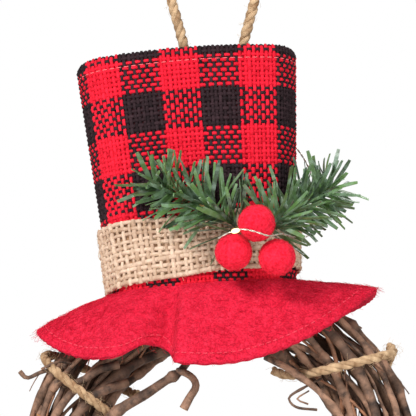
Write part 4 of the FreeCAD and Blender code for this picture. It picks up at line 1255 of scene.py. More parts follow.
@dataclass
class PineSprigs:
    """Two sprigs of cut plastic strip on twisted wire."""

    crown: Crown
    left_stem: tuple = ((20.5, -29.5, 16.5), (13.5, -29.6, 24.6), (3.4, -29.2, 31.6),
                        (-8.2, -28.2, 38.2), (-20.5, -27.0, 45.8))
    right_stem: tuple = ((29.5, -29.8, 17.0), (37.5, -28.8, 23.6), (47.0, -25.2, 29.4),
                         (55.2, -21.4, 34.0), (63.0, -17.6, 39.0))
    balls: tuple = ((14.5, -37.0, 7.7), (34.2, -37.0, 3.5), (26.0, -43.6, 18.8))
    length: float = 25.0
    pitch: float = 0.29

    def clear(self, root: Array, tip: Array) -> bool:
        """Tells whether a needle misses the crown and the balls."""
        for share in (0.35, 0.7, 1.0):
            spot = root + (tip - root) * share
            tall = min(max(spot[2] / self.crown.height, 0.0), 1.0)
            width = self.crown.base_width + (self.crown.top_width - self.crown.base_width) * tall + 2
            depth = self.crown.base_depth + (self.crown.top_depth - self.crown.base_depth) * tall + 2.4
            inside = (abs(spot[0]) / width) ** 2.6 + (abs(spot[1]) / depth) ** 2.6
            if inside < 1 and spot[2] > -2:
                return False
            if any(np.linalg.norm(spot - ball) < 9.3 for ball in np.array(self.balls)):
                return False
        return True

    def build(self) -> None:
        """Makes both sprigs."""
        for side, stem, seed in (("left", self.left_stem, 51), ("right", self.right_stem, 87)):
            chance = np.random.default_rng(seed)
            line = resampled(np.array(stem), self.pitch)
            ahead = unit(np.gradient(line, axis=0))
            places = Plants()
            for number in range(2, len(line)):
                direction = ahead[number]
                flat = unit(np.array([-direction[2], 0, direction[0]]))
                turn = number * GOLDEN + chance.normal(0, 0.25)
                across = flat * math.cos(turn) + np.array([0, -0.8, 0]) * (0.45 + math.sin(turn))
                lean = chance.uniform(0.1, 1.1)
                heading = direction * lean + unit(across) + chance.normal(0, 0.18, 3)
                heading = unit(heading)
                size = self.length * chance.uniform(0.72, 1.12) * (1 - 0.28 * number / len(line))
                root = line[number]
                if self.clear(root, root + heading * size):
                    face = chance.normal(0, 1, 3)
                    places.add(HAT.place(root), HAT.turn(heading), face,
                               (chance.uniform(1.0, 1.6), chance.uniform(0.8, 1.2), size),
                               chance.uniform(0, 1))
            needles = places.grow(f"pine_sprig_{side}_needles", self.needle(), NEEDLES, "pine_needles")
            stalk = Strands()
            for ply in (0.0, math.pi):
                side_way, other = carried_sides(line)
                twist = np.arange(len(line)) * self.pitch * 1.3 + ply
                stalk.add(HAT.place(line + 0.45 * (side_way * np.cos(twist)[:, None]
                                                  + other * np.sin(twist)[:, None])), 0.5, 0.3)
            sweep(f"pine_sprig_{side}_wire", stalk, TAN_STEM, 5)
            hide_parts(f"pine_sprig_{side}")

    @staticmethod
    def needle() -> Mesh:
        """Returns one flat strip, slightly bowed and cut to a blunt point, of unit length."""
        points = []
        for along, wide, bow in ((0.0, 0.55, 0.0), (0.35, 0.7, 0.25), (0.8, 0.7, 0.1), (1.0, 0.5, -0.3)):
            for across, thick in ((-wide, -0.16), (wide, -0.16), (wide, 0.16), (-wide, 0.16)):
                points.append((across, thick + bow, along))
        faces = [(3, 2, 1, 0), (12, 13, 14, 15)]
        for row in range(3):
            for side in range(4):
                a, b = row * 4 + side, row * 4 + (side + 1) % 4
                faces.append((a, b, b + 4, a + 4))
        return faced("pine_strip", np.array(points), faces, smooth=False)


def ball_mesh(name: str, centre: Array, radius: float, seed: float, finish: Finish) -> Mesh:
    """Returns a slightly lumpy ball in the row frame."""
    work = bmesh.new()
    bmesh.ops.create_icosphere(work, subdivisions=5, radius=1.0)
    for vert in work.verts:
        out = vert.co.normalized()
        lump = noise.fractal(out * 2.1 + Vector((seed, 0, 0)), 0.6, 2.0, 3)
        fine = noise.noise(out * 11 + Vector((0, seed, 0)))
        reach = radius * (0.985 + 0.035 * lump + 0.012 * fine)
        vert.co = Vector(centre) * MM + out * reach * MM
    for face in work.faces:
        face.smooth = True
    mesh = bpy.data.meshes.new(name)
    work.to_mesh(mesh)
    work.free()
    return dressed(mesh, finish)


@dataclass
class FeltBalls:
    """Three needle-felted balls on thin stems."""

    centres: dict = field(default_factory=lambda: {
        "left": (14.5, -37.0, 7.7), "right": (34.2, -37.0, 3.5), "top": (26.0, -43.6, 18.8)})
    stems: dict = field(default_factory=lambda: {
        "left": ((17.0, -27.4, 11.2), (19.4, -26.8, 13.2)),
        "right": ((32.2, -27.2, 7.6), (29.6, -26.6, 11.0)),
        "top": ((25.4, -31.4, 17.6), (24.4, -27.2, 15.2))})
    radius: float = 8.5
    fibres: int = 1500

    def build(self) -> None:
        """Makes the balls with their fuzz, and the stems."""
        chance = np.random.default_rng(19)
        stalks = Strands()
        for number, (side, centre) in enumerate(self.centres.items()):
            spot = HAT.place(centre)
            wool = ball_mesh(side, spot, self.radius, 3.0 + number * 7, BALL_FELT)
            ball = finished(f"felt_ball_{side}_wool", wool)
            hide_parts(f"felt_ball_{side}")
            hairs = Strands()
            for direction in unit(chance.normal(0, 1, (self.fibres, 3))):
                start = spot + direction * self.radius * 0.97
                hairs.add(stray(start, direction, chance, 2.2)[:3], 0.045, 0.5)
            sweep(f"felt_ball_{side}_fuzz", hairs, BALL_FELT, 3)
            bend, end = self.stems[side]
            stalks.add(HAT.place(resampled(np.array([centre, bend, end]), 0.8)), 0.55, 0.5)
        stems = sweep("ball_stem_wires", stalks, TAN_STEM, 8)
        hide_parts("ball_stems")


@dataclass
class LightString:
    """Thin wire with three tiny lamps."""

    route: tuple = (
        (8.0, -46.4, 12.6), (13.0, -49.0, 14.2), (19.0, -51.0, 14.8), (25.0, -53.4, 12.6),
        (31.0, -50.6, 10.8), (37.0, -43.8, 12.8), (42.6, -35.0, 13.0), (48.0, -25.4, 14.6),
        (52.6, -14.4, 19.4), (55.6, -2.0, 28.4), (57.0, 10.6, 41.0), (55.4, 21.6, 56.0),
        (50.4, 29.6, 70.0), (42.6, 34.2, 80.0), (34.4, 35.8, 82.6), (30.2, 35.5, 78.4),
        (30.0, 35.4, 72.8))
    wire: float = 0.3
    lamp_runs: tuple = (1, 6, 9)
    lamp_radius: float = 1.15
    lamp_half_length: float = 2.1

    def build(self) -> None:
        """Makes the twisted pair of wires and the lamps."""
        line = resampled(np.array(self.route), 0.9)
        side, other = carried_sides(line)
        wires = Strands()
        twist = np.arange(len(line)) * 0.9 * 0.9
        for start in (0.0, math.pi):
            out = side * np.cos(twist + start)[:, None] + other * np.sin(twist + start)[:, None]
            wires.add(HAT.place(line + out * 0.22), self.wire * 0.8, 0.5)
        strand = sweep("led_wire_pair", wires, WIRE, 6)
        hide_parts("led_wire")
        drops = Strands()
        for run in self.lamp_runs:
            a, b = np.array(self.route[run]), np.array(self.route[run + 1])
            middle, ahead = (a + b) / 2, unit(b - a)
            share = np.linspace(-1, 1, 11)
            drops.add(HAT.place(middle + ahead * share[:, None] * self.lamp_half_length),
                      self.lamp_radius * np.sqrt(np.maximum(1 - share ** 2, 0.004)), 0.5)
        lamps = sweep("led_lamp_drops", drops, LIT_LAMP, 12)
        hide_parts("led_lamps")


# ---------------------------------------------------------------- battery pack


def coat(node: str, finish: Finish) -> None:
    """Gives a CAD node a finish through its material slots."""
    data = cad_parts[node].data
    data.materials.clear()
    data.materials.append(finish.material())


CASE_PLASTIC = Finish("case_plastic_finish", srgb(26, 26, 28), srgb(44, 44, 46), grain=2.2, bump=0.25,
                      bump_depth=0.08, roughness=0.5)
SWITCH_PLASTIC = Finish("switch_plastic_finish", srgb(198, 196, 188), srgb(226, 224, 216), grain=2.0,
                        bump=0.15, roughness=0.45)
CELL_SLEEVE = Finish("cell_sleeve_finish", srgb(44, 92, 58), srgb(60, 116, 74), grain=0.3, bump=0.05,
                     roughness=0.3)
SPRING_METAL = Finish("spring_metal_finish", srgb(176, 176, 172), srgb(214, 214, 208), grain=1.2,
                      bump=0.1, roughness=0.28, metallic=1.0)
BOARD = Finish("board_finish", srgb(16, 74, 44), srgb(28, 96, 58), grain=1.8, bump=0.15, roughness=0.4)
FOAM = Finish("foam_finish", srgb(206, 206, 200), srgb(238, 238, 232), grain=1.8, bump=0.6,
              bump_depth=0.3, roughness=0.95)


@dataclass
class BatteryPack:
    """The battery case behind the crown."""

    def build(self) -> None:
        """Dresses the case's parts and makes the foam pad behind it."""
        for node, finish in (("battery_case", CASE_PLASTIC), ("battery_cover", CASE_PLASTIC),
                             ("power_switch", SWITCH_PLASTIC), ("battery_cell_1", CELL_SLEEVE),
                             ("battery_cell_2", CELL_SLEEVE), ("contact_springs", SPRING_METAL),
                             ("contact_plates", SPRING_METAL), ("timer_board", BOARD)):
            coat(node, finish)
        pad = finished("case_foam_pad", self.foam())
        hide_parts("mounting_pad")

    def foam(self) -> Mesh:
        """Returns the foam pad: the CAD block with rounded, slightly swollen sides.

        Points and faces are sorted, because bevelling gives them in another order on each run.
        """
        work = bmesh.new()
        work.from_mesh(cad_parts["mounting_pad"].data)
        bmesh.ops.remove_doubles(work, verts=work.verts, dist=1e-6)
        bmesh.ops.dissolve_limit(work, angle_limit=0.02, verts=work.verts, edges=work.edges)
        bmesh.ops.bevel(work, geom=list(work.edges), offset=0.45 * MM, segments=3, affect="EDGES")
        bmesh.ops.triangulate(work, faces=work.faces)
        bmesh.ops.subdivide_edges(work, edges=work.edges, cuts=2, use_grid_fill=True)
        work.verts.index_update()
        for vert in work.verts:
            vert.co += vert.normal * 0.12 * MM * noise.noise(vert.co / MM * 0.5)
        spots = [tuple(round(value, 8) for value in vert.co) for vert in work.verts]
        numbers = {spot: number for number, spot in enumerate(sorted(spots))}
        faces = []
        for face in work.faces:
            corners = [numbers[spots[vert.index]] for vert in face.verts]
            low = corners.index(min(corners))
            faces.append(corners[low:] + corners[:low])
        work.free()
        mesh = bpy.data.meshes.new("foam")
        mesh.from_pydata(list(numbers), [], sorted(faces))
        mesh.shade_smooth()
        return dressed(mesh, FOAM)


# ---------------------------------------------------------------- vine rings


def cut(ends: Plants, line: Array, radius: Array, end: int, tint: float) -> None:
    """Adds the place of the pale wood on a vine's first (0) or last (-1) point.

    Args:
        ends: Where the place goes.
        line: The vine's centre line.
        radius: The vine's radius at each point.
        end: Number of the end point.
        tint: Shade of the wood.
    """
    out = unit(line[end] - line[1 if end == 0 else -2])
    ends.add(line[end] + out * 0.02, out, (0.3, 0.5, 0.8), (radius[end], radius[end], 1.0), tint)


@dataclass
class VineRing:
    """A wreath ring of twisted grapevine."""

    name: str
    radius: float
    growth: float
    count: int
    centre_z: float
    seed: int
    centre_x: float = 3.5
    centre_y: float = -8.0
    outer_orbit: float = 16.3
    middle_orbit: float = 9.8
    core_orbit: float = 3.4
    sway: float = 0.13
    end_gap: float = 0.02
    thin_vines: int = 13
    twigs: int = 60
    spacing: float = 2.4

    def at(self, orbit: Any, around: Any, tube: Any) -> Array:
        """Returns points by their angle round the ring and round its tube."""
        out = self.radius + orbit * np.cos(tube)
        return np.stack([self.centre_x + out * np.cos(around), self.centre_y + orbit * np.sin(tube),
                         self.centre_z + out * np.sin(around)], -1)

    def wound(self, number: int, count: int, twist: int, orbit: float, chance: Chance,
              loose: float) -> Array:
        """Returns the line of one vine of a layer.

        Args:
            number: Which vine it is.
            count: How many the layer has.
            twist: Turns round the tube before the winding closes.
            orbit: Distance from the tube's middle.
            chance: Source of random numbers.
            loose: How far it strays, in millimetres.

        Returns:
            Its centre line.
        """
        tracks = count - 1
        whole = 2 * math.pi * self.radius
        steps = int(whole * (tracks / count - self.end_gap) / self.spacing)
        turns = number * tracks / count + np.arange(steps + 1) * self.spacing / whole
        wave = self.sway * np.sin(2 * math.pi * (3 + 1 / tracks) * turns)
        stray_tube, stray_orbit = np.zeros(len(turns)), np.zeros(len(turns))
        for rate in (3.3, 7.7, 15.1, 31.0):
            for total, spread, fade in ((stray_tube, 0.5, 0.7), (stray_orbit, 0.9, 0.5)):
                size = chance.normal(0, spread) / rate ** fade
                total += size * np.sin(2 * math.pi * rate * turns + chance.uniform(0, 6))
        tube = 2 * math.pi * twist / tracks * turns + wave + stray_tube * loose / orbit
        out = orbit - 0.5 * loose + np.clip(stray_orbit, -1.4, 1.0) * loose
        return self.at(out, 2 * math.pi * turns, tube)

    @staticmethod
    def thickness(points: Array, base: float, chance: Chance, spacing: float) -> Array:
        """Returns a vine's radius along its line: a slow taper, swellings and knots."""
        along = np.arange(len(points)) * spacing
        taper = np.linspace(1.0, chance.uniform(0.62, 0.9), len(points))
        if chance.uniform() < 0.5:
            taper = taper[::-1]
        radius = base * taper * (1 + 0.07 * np.sin(along * 0.11 + chance.uniform(0, 6)))
        spot = chance.uniform(10, 40)
        while spot < along[-1]:
            height, width = chance.uniform(0.2, 0.75), chance.uniform(1.9, 3.6)
            radius += base * height * np.exp(-((along - spot) / width) ** 2)
            spot += chance.uniform(15, 46)
        return radius

    def build(self) -> None:
        """Makes the outer vines, the inner ones in a darker bark of painted shade, the twigs and the cut
        ends.
        """
        chance = np.random.default_rng(self.seed)
        outer, inner, twigs, ends = Strands(), Strands(), Strands(), Plants()
        for number in range(self.count):
            line = self.wound(number, self.count, self.count - 2, self.growth * self.outer_orbit, chance, 1.0)
            base = self.growth * (1.35 + 1.35 * ((number * 0.618) % 1))
            radius = self.thickness(line, base, chance, self.spacing)
            outer.add(line, radius, (number * 0.38) % 1)
            for end in (0, -1):
                cut(ends, line, radius, end, number * 0.7 % 1)
        for number in range(self.thin_vines):
            orbit = self.growth * (self.outer_orbit - 1.4)
            line = self.wound(number, self.thin_vines, -5, orbit, chance, 2.0)
            radius = self.thickness(line, chance.uniform(0.8, 1.6), chance, self.spacing)
            outer.add(line, radius, chance.uniform(0, 1))
        for count, twist, orbit, size in ((6, -5, self.middle_orbit, 1.6), (3, 2, self.core_orbit, 1.9)):
            for number in range(count):
                line = self.wound(number, count, twist, self.growth * orbit, chance, 1.6)
                radius = self.thickness(line, size, chance, self.spacing)
                inner.add(line, radius, chance.uniform(0, 1))
        for number in range(self.twigs):
            line, radius = self.twig(chance)
            twigs.add(line, radius, chance.uniform(0, 1))
            cut(ends, line, radius, 0, 0.5)
        vines = sweep(f"{self.name}_outer_vines", outer, BARK, 11, bark=0.95)
        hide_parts(*(f"{self.name}_vine_{number + 1}" for number in range(self.count)))
        shaded = sweep(f"{self.name}_inner_vines", inner, SHADE_PAINTED_BARK, 9, bark=0.4)
        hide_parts(f"{self.name}_core_vines")
        sweep(f"{self.name}_twigs", twigs, YOUNG_BARK, 7, bark=0.25, bark_grain=1.6)
        ends.grow(f"{self.name}_cut_ends", cut_mesh(), CUT_WOOD, "grapevine")

    def twig(self, chance: Chance) -> tuple[Array, Array]:
        """Returns the line and radius of a thin shoot that winds with the others and strays at its tip."""
        length = chance.uniform(40, 190)
        steps = int(length / 2.0)
        share = np.linspace(0, 1, steps)
        start = chance.uniform(0, 2 * math.pi)
        way = chance.choice((-1, 1))
        around = start + way * share * length / self.radius
        tube = chance.uniform(0, 6.28) + share * length / 60 * chance.uniform(-2.3, 2.3)
        tip = np.clip((share - 0.8) / 0.2, 0, 1) ** 1.6 * chance.uniform(0, 7)
        wander = sum(np.sin(share * length * rate + chance.uniform(0, 6)) * size
                     for rate, size in ((0.05, 1.2), (0.13, 0.6), (0.31, 0.25)))
        orbit = self.growth * chance.uniform(13.0, 17.3) + wander * 0.6 + tip
        radius = chance.uniform(0.4, 1.25) * (1 - 0.6 * share ** 1.5)
        radius = radius * (1 + 0.35 * (np.sin(share * length * 0.37) > 0.965))
        return self.at(orbit, around, tube), radius


def cut_mesh() -> Mesh:
    """Returns a thin, slightly domed disc of unit radius for a vine's cut end."""
    points = [(0, 0, 0.16)]
    angles = [a * math.pi / 6 for a in range(12)]
    for height, width in ((0.12, 0.55), (0.02, 0.93), (-0.5, 0.9)):
        points += [(width * math.cos(angle), width * math.sin(angle), height) for angle in angles]
    points.append((0, 0, -0.5))
    faces = [(0, 1 + a, 1 + (a + 1) % 12) for a in range(12)]
    faces += [(37, 25 + (a + 1) % 12, 25 + a) for a in range(12)]
    for row in (1, 13):
        faces += [(row + a, row + 12 + a, row + 12 + (a + 1) % 12, row + (a + 1) % 12) for a in range(12)]
    return faced("cut_end", np.array(points), faces)


@dataclass
class Shoots:
    """Stray shoots, a broken stub and a curled tendril at the top of the head ring."""

    routes: tuple = (
        (1.0, ((-70.0, -20.0, -231.0), (-79.0, -24.0, -233.0), (-86.0, -25.0, -236.0),
               (-89.5, -24.8, -233.0))),
        (0.8, ((-66.0, -22.0, -229.0), (-72.0, -25.0, -228.6), (-79.5, -26.0, -232.0))),
        (2.0, ((-44.0, -24.0, -230.0), (-52.0, -27.0, -232.0), (-58.0, -28.6, -236.0),
               (-64.5, -28.8, -239.0))),
        (2.3, ((-40.0, -22.0, -238.0), (-48.0, -26.0, -241.0), (-58.4, -28.0, -246.0))),
        (2.7, ((-11.0, -22.0, -227.0), (-15.6, -26.0, -233.2), (-22.6, -28.0, -237.9), (-31.0, -28.6, -243.6),
               (-41.2, -28.4, -249.6), (-49.5, -26.0, -256.0), (-56.0, -22.0, -266.0))),
        (2.0, ((-17.0, -27.0, -233.0), (-12.8, -28.6, -234.1), (-9.1, -29.0, -237.0), (-8.2, -29.0, -240.7),
               (-11.0, -28.8, -245.4), (-13.8, -28.6, -250.6))),
        (0.6, ((50.0, -22.0, -236.0), (42.5, -27.0, -240.2), (35.5, -29.0, -244.5), (35.1, -29.4, -247.3),
               (38.8, -29.4, -250.1), (47.6, -28.8, -251.0))),
        (0.5, ((44.0, -25.0, -242.0), (38.5, -28.6, -246.0), (43.5, -29.0, -248.4))),
        (1.7, ((24.0, -24.0, -226.0), (36.0, -27.5, -233.0), (49.0, -28.6, -243.0), (60.0, -27.0, -256.0))))

    def build(self) -> None:
        """Makes the shoots and the pale wood at their cut ends."""
        chance = np.random.default_rng(77)
        strands, ends = Strands(), Plants()
        for size, route in self.routes:
            line = resampled(np.array(route), 1.6)
            radius = VineRing.thickness(line, size, chance, 1.6)
            strands.add(line, radius, chance.uniform(0, 1))
            cut(ends, line, radius, -1, 0.8)
        sweep("head_stray_shoots", strands, BARK, 12, bark=0.4)
        ends.grow("head_shoot_ends", cut_mesh(), CUT_WOOD, "grapevine")


@dataclass
class TwineWork:
    """The twine wound round both rings, the hat's tie and the lashing at the neck."""

    head: VineRing
    body: VineRing
    reach: float = 19.2
    gap: float = 0.9
    twine: float = 2.6
    bow: float = 10.0
    right: tuple = (62, 36, 21, 2, -18, -38, -58)
    left: tuple = (236, 221, 198, 182, 156, 147, 137)
    round_body: tuple = (58, 44, 22, 6, -16, -34, -55, -74, -97, -117, -140, -158, -180, -197, -218, -236)

    def wrap(self, ring: VineRing, orbit: float, crossings: Sequence[int]) -> Array:
        """Returns a line that goes round the ring's tube: inside, front, outside, back."""
        steps = 16
        bow = self.bow if crossings is self.right else 0.0
        places = []
        for index, (this, after) in enumerate(zip(crossings, crossings[1:])):
            for step in range(steps):
                bent = bow * math.sin(math.pi * step / steps) ** 0.7 if index == 0 else 0.0
                places.append((this + (after - this) * step / steps - bent, 1 + index + step / steps))
        around, tube = np.radians([p[0] for p in places]), math.pi * np.array([p[1] for p in places])
        return ring.at(orbit, around, tube)

    def tie(self) -> Array:
        """Returns the strand under the top of the head ring's tube that ties the hat on."""
        step = np.arange(7)
        return self.head.at(self.reach + self.gap + self.twine, math.radians(98) - 0.03 * step,
                            np.radians(-112 - 20 * step))

    def lashing(self) -> Array:
        """Returns the turns round both tubes at the neck."""
        turns, corners = 4, 14
        pitch = 2 * self.twine + 0.5
        orbit = 2 * self.gap + self.twine
        top, bottom = self.reach + orbit, self.reach * self.body.growth + orbit
        points = []
        for step in range(turns * corners + 1):
            x = pitch * (step / corners - turns / 2)
            head = self.head.centre_z - math.sqrt(self.head.radius ** 2 - x ** 2)
            body = self.body.centre_z + math.sqrt(self.body.radius ** 2 - x ** 2)
            place = step % corners
            if place < corners / 2:
                angle = math.pi * place / (corners / 2 - 1)
                y, z = -top * math.cos(angle), head + top * math.sin(angle)
            else:
                angle = math.pi * (place - corners / 2) / (corners / 2 - 1)
                y, z = bottom * math.cos(angle), body - bottom * math.sin(angle)
            points.append((self.head.centre_x + x, self.head.centre_y + y, z))
        return np.array(points)

    def build(self) -> None:
        """Makes every length of twine."""
        orbit = self.reach + self.gap + self.twine
        wide = self.reach * self.body.growth + self.gap + self.twine
        for name, node, line in (
                ("head_twine_right_plies", "head_twine_right", self.wrap(self.head, orbit, self.right)),
                ("head_twine_left_plies", "head_twine_left", self.wrap(self.head, orbit, self.left)),
                ("body_twine_plies", "body_twine", self.wrap(self.body, wide, self.round_body)),
                ("hat_tie_plies", "hat_tie", self.tie()),
                ("neck_lashing_plies", "neck_lashing", self.lashing())):
            strands, hairs = Strands(), Strands()
            Twine(ply_radius=1.24, lay_radius=1.06, pitch=15.0, seed=len(node)).lay(line, strands, hairs)
            plies = sweep(name, strands, JUTE, 8)
            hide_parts(node)
            sweep(name.replace("plies", "fibres"), hairs, JUTE_HAIR, 3)


# ---------------------------------------------------------------- scarf


@dataclass
class Scarf:
    """The checked scarf: a band round the neck, a knot and two tails."""

    centre: tuple = (3.5, -8.0, -371.7)
    width: float = 66.5
    depth: float = 34.5
    end_radius: float = 30.3
    height: float = 30.0
    thick: float = 4.5
    yarn: float = 0.72
    rise: float = 0.46
    pitch: float = 2.2
    knot_size: tuple = (15.0, 10.0, 17.0)
    tail_width: float = 33.0
    tail_length: float = 112.0
    tail_yarns: int = 32
    fringe: float = 13.0
    back_tint: float = 0.4

    def yarns(self, name: str, weave: PlainWeave) -> list[Piece]:
        """Makes a weave's red and black yarns."""
        lines = weave.lines()
        return [sweep(f"{name}_yarn_{label}", lines[red], finish, 5)
                for red, finish, label in CHECK_YARNS if lines[red].lines]

    def backing(self, name: str, surface: Surface, share: Array, along: Array) -> Piece:
        """Makes the thin dark sheet behind a weave; its dark colour is painted shade in the gaps between the
        yarns.

        Args:
            name: The piece's name.
            surface: The cloth's surface.
            share: Grid of ways round it.
            along: Grid of distances along it.

        Returns:
            The finished sheet.
        """
        outer, inner = (surface(share, along, np.full(share.shape, lift)) for lift in (-0.25, -0.5))
        mesh = shell(name, outer, inner, True)
        store(mesh, "tint", np.full(len(mesh.vertices), self.back_tint))
        return finished(name, dressed(mesh, GAP_SHADE_BACKING))

    def build(self) -> None:
        """Makes the band, the knot and the tails."""
        self.band()
        self.knot()
        for side, lean, across, back, phase in (("left", 9, -8, 6.4, 0.4), ("right", -7, 10, 2, 2.2)):
            self.tail(side, lean, across, back, phase)

    def band(self) -> None:
        """Makes the folded band round the neck."""
        samples = 1200
        ring = oval_outline(self.width, self.depth, self.end_radius, 0.0, samples)
        ahead = unit(np.roll(ring, -1, 0) - np.roll(ring, 1, 0))
        outs = np.stack([ahead[:, 1], -ahead[:, 0]], 1)
        bend = self.thick / 2 - 0.6

        def surface(share: Array, along: Array, lift: Array) -> Array:
            """Returns points of the band, which turns over at both edges."""
            share, along = np.broadcast_arrays(share, along)
            spot = np.floor((share % 1) * samples).astype(int) % samples
            over = np.clip((np.abs(along) - self.height / 2 + bend) / bend, 0, math.pi)
            inside = np.maximum(np.abs(along) - self.height / 2 + bend - bend * math.pi, 0)
            ripple = 0.5 * np.sin(share * 2 * math.pi * 9 + along * 0.15)
            inset = -0.8 - bend + (bend + lift) * np.cos(over) + ripple
            turned = self.height / 2 - bend + (bend + lift) * np.sin(over)
            level = np.sign(along) * (np.where(over > 0, turned, np.abs(along)) - inside)
            flat = ring[spot] + outs[spot] * inset[..., None]
            return np.concatenate([flat, level[..., None]], -1) + np.array(self.centre)

        reach = self.height / 2 + 4.4
        rows = np.arange(-reach, reach, self.pitch)
        weave = PlainWeave(surface, 162, rows, self.yarn, self.rise, striped(9), striped(8), seed=61,
                           edge=0.6)
        pieces = self.yarns("scarf_neck", weave)
        share, along = np.meshgrid(np.arange(220) / 220, np.linspace(-reach - 6, reach + 6, 26))
        backing = self.backing("scarf_neck_backing", surface, share, along)
        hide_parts("scarf_neck")

    def knot_centre(self) -> Array:
        """Returns the middle of the knot, in front of the band."""
        return np.array(self.centre) + (12, -self.depth - 10.4, -2)

    def knot(self) -> None:
        """Makes the knot: cloth wrapped round itself, with deep folds."""
        centre = self.knot_centre()
        a, b, c = self.knot_size

        def surface(share: Array, along: Array, lift: Array) -> Array:
            """Returns points of the knot by the angle round it and the distance up it."""
            share, along = np.broadcast_arrays(share, along)
            angle = 2 * math.pi * share
            up = along / c
            fold = 1 + 0.06 * np.sin(5 * angle + 2.2 * up) + 0.04 * np.sin(9 * angle - 3 * up)
            wide = np.cos(up) ** 0.7 * fold
            flat = np.stack([(a * wide + lift) * np.cos(angle), (b * wide + lift) * np.sin(angle)], -1)
            return np.concatenate([flat, (c * np.sin(up))[..., None]], -1) + centre

        rows = np.arange(-20.0, 20.1, 2.1)
        weave = PlainWeave(surface, 36, rows, 0.68, 0.4, striped(9), striped(8), seed=67)
        self.yarns("scarf_knot", weave)
        wide, tall = 72, 30
        share, along = np.meshgrid(np.arange(wide) / wide, np.linspace(-c * 1.5, c * 1.5, tall))
        grid = surface(share, along, np.full(share.shape, -0.7)).reshape(-1, 3)
        faces = []
        for row in range(tall - 1):
            for column in range(wide):
                a, b = row * wide + column, row * wide + (column + 1) % wide
                faces.append((a, b, b + wide, a + wide))
        faces += [tuple(range(wide)), tuple(range((tall - 1) * wide, tall * wide))]
        # The knot's core takes the backing's dark colour: painted shade between the yarns.
        mesh = store(faced("scarf_knot_core", grid, faces), "tint", np.full(len(grid), self.back_tint))
        core = finished("scarf_knot_core", dressed(mesh, GAP_SHADE_BACKING))
        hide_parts("scarf_knot")

    def tail(self, side: str, lean: float, across: float, back: float, phase: float) -> None:
        """Makes one hanging tail, folded double, with a fringe.

        Args:
            side: Its name.
            lean: How far it leans, in degrees.
            across: Distance of its top from the knot's middle.
            back: Distance of its top behind the knot's middle.
            phase: Where its waves start.
        """
        top = self.knot_centre() + (across, back, -19)
        lean = math.radians(lean)
        cloth_length = self.tail_length - self.fringe
        half, round_end = self.tail_width / 2 - 1.2, 1.0
        flat = 2 * (half - round_end)
        bow = math.pi * round_end
        whole = 2 * flat + 2 * bow

        def surface(share: Array, along: Array, lift: Array) -> Array:
            """Returns points of the tail by the way round it and the distance down it."""
            share, along = np.broadcast_arrays(share, along)
            gone = (share % 1) * whole
            front = gone < flat
            right = (gone >= flat) & (gone < flat + bow)
            rear = (gone >= flat + bow) & (gone < 2 * flat + bow)
            turn = np.where(right, (gone - flat) / round_end, (gone - 2 * flat - bow) / round_end)
            side_x, side_y = (round_end + lift) * np.sin(turn), (round_end + lift) * np.cos(turn)
            x = np.select([front, right, rear],
                          [gone - flat / 2, flat / 2 + side_x, flat / 2 - (gone - flat - bow)],
                          -flat / 2 - side_x)
            y = np.select([front, right, rear], [-round_end - lift, -side_y, round_end + lift], side_y)
            pinch = 0.72 + 0.28 * np.clip(along / 30, 0, 1)
            wave = 1.1 * np.sin(x * 0.32 + phase) * np.clip(along / 25, 0.3, 1)
            wave = wave + 0.9 * np.sin(along * 0.06 + phase)
            x, z = x * pinch, -along
            turned_x = x * math.cos(lean) + z * math.sin(lean)
            turned_z = -x * math.sin(lean) + z * math.cos(lean)
            return np.stack([turned_x, y + wave + 1.75, turned_z], -1) + top

        rows = np.arange(0.6, cloth_length, self.pitch)
        red_yarn = striped(8, 4)
        weave = PlainWeave(surface, self.tail_yarns, rows, self.yarn, self.rise * 0.85, red_yarn, striped(8),
                           seed=71 + len(side), edge=0.6)
        pieces = self.yarns(f"scarf_tail_{side}", weave)
        share, along = np.meshgrid(np.arange(64) / 64, np.linspace(0, cloth_length, 40))
        backing = self.backing(f"scarf_tail_{side}_backing", surface, share, along)
        chance = np.random.default_rng(91 + len(side))
        strands = {True: Strands(), False: Strands()}
        steps = 5
        for number in range(self.tail_yarns):
            spot = np.full(steps, (number + 0.5) / self.tail_yarns)
            reach = np.linspace(-0.5, self.fringe * chance.uniform(0.8, 1.0), steps)
            line = surface(spot, cloth_length + reach, np.zeros(steps))
            line += np.linspace(0, 1, steps)[:, None] ** 2 * chance.normal(0, 1.1, 3)
            strands[red_yarn(number)].add(line, 0.62, chance.uniform(0, 1))
        for red, finish, label in CHECK_YARNS:
            pieces.append(sweep(f"scarf_tail_{side}_fringe_{label}", strands[red], finish, 5))
        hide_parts(f"scarf_tail_{side}")


# ---------------------------------------------------------------- studio


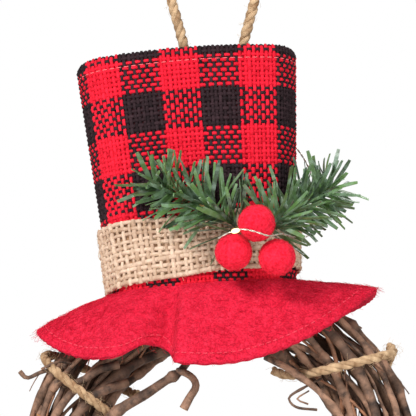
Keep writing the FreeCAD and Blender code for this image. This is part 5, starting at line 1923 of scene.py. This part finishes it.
@dataclass
class Studio:
    """The floor, the lights and the camera."""

    floor_z: float = -0.70
    target: tuple = (-0.0026, -0.00565, -0.15442)
    camera_spot: tuple = (0.0, -1.69209, -0.36922)
    lens: float = 313.0

    def build(self) -> None:
        """Makes the stage, the lights and the camera."""
        self.floor()
        self.world()
        for name, spot, size, power, aim in (
                ("key", (-0.9, -1.4, 0.9), 0.6, 38.0, (0.0, 0.0, -0.2)),
                ("fill", (1.3, -1.3, 0.1), 1.2, 14.0, (0.0, 0.0, -0.25)),
                ("back", (0.4, 1.4, 0.8), 1.0, 14.0, (0.0, 0.0, -0.2)),
                ("under", (-0.3, -1.2, -0.6), 0.8, 4.0, (0.0, 0.0, -0.2))):
            light = bpy.data.lights.new(name, "AREA")
            light.shape = "DISK"
            light.size = size
            light.energy = power
            lamp = bpy.data.objects.new(name, light)
            lamp.location = spot
            lamp.rotation_mode = "QUATERNION"
            lamp.rotation_quaternion = (Vector(aim) - Vector(spot)).to_track_quat("-Z", "Y")
            bpy.context.collection.objects.link(lamp)
        data = bpy.data.cameras.new("camera")
        data.lens = self.lens
        data.sensor_width = 36.0
        data.clip_start = 0.05
        camera = bpy.data.objects.new("camera", data)
        camera.location = self.camera_spot
        camera.rotation_mode = "QUATERNION"
        camera.rotation_quaternion = (Vector(self.target) - Vector(self.camera_spot)).to_track_quat("-Z", "Y")
        bpy.context.collection.objects.link(camera)
        bpy.context.scene.camera = camera
        bpy.context.scene.view_settings.view_transform = "Standard"

    def floor(self) -> None:
        """Makes the pale floor."""
        mesh = bpy.data.meshes.new("floor")
        mesh.from_pydata([(-4, -4, self.floor_z), (4, -4, self.floor_z), (4, 4, self.floor_z),
                          (-4, 4, self.floor_z)], [], [(0, 1, 2, 3)])
        material = bpy.data.materials.new("pale_floor")
        material.use_nodes = True
        shader = material.node_tree.nodes["Principled BSDF"]
        shader.inputs["Base Color"].default_value = (0.86, 0.85, 0.83, 1.0)
        shader.inputs["Roughness"].default_value = 0.9
        mesh.materials.append(material)
        floor = bpy.data.objects.new("floor", mesh)
        bpy.context.collection.objects.link(floor)

    def world(self) -> None:
        """Makes an even white surround that lights the object softly."""
        world = bpy.data.worlds.new("surround")
        world.use_nodes = True
        write = NodeWriter(world.node_tree)
        for node in list(world.node_tree.nodes):
            world.node_tree.nodes.remove(node)
        seen = write.add("ShaderNodeBackground", {"Color": (1.0, 1.0, 1.0, 1.0), "Strength": 1.0})
        light = write.add("ShaderNodeBackground", {"Color": (1.0, 0.99, 0.97, 1.0), "Strength": 0.44})
        ray = write.add("ShaderNodeLightPath").outputs["Is Camera Ray"]
        mix = write.add("ShaderNodeMixShader", {0: ray, 1: light.outputs[0], 2: seen.outputs[0]})
        write.add("ShaderNodeOutputWorld", {"Surface": mix.outputs[0]})
        bpy.context.scene.world = world


def main() -> None:
    """Builds the studio and every part of the snowman."""
    random.seed(1)
    Studio().build()
    HangingLoop().build()
    crown = Crown()
    crown.build()
    BurlapBand(crown).build()
    Brim(crown).build()
    PineSprigs(crown).build()
    FeltBalls().build()
    LightString().build()
    BatteryPack().build()
    head = VineRing("head", 75.0, 1.0, 11, -277.5, 5)
    body = VineRing("body", 122.0, 1.06, 12, -514.652, 8, twigs=74)
    head.build()
    body.build()
    Shoots().build()
    TwineWork(head, body).build()
    Scarf().build()


if __name__ == "__main__":
    main()
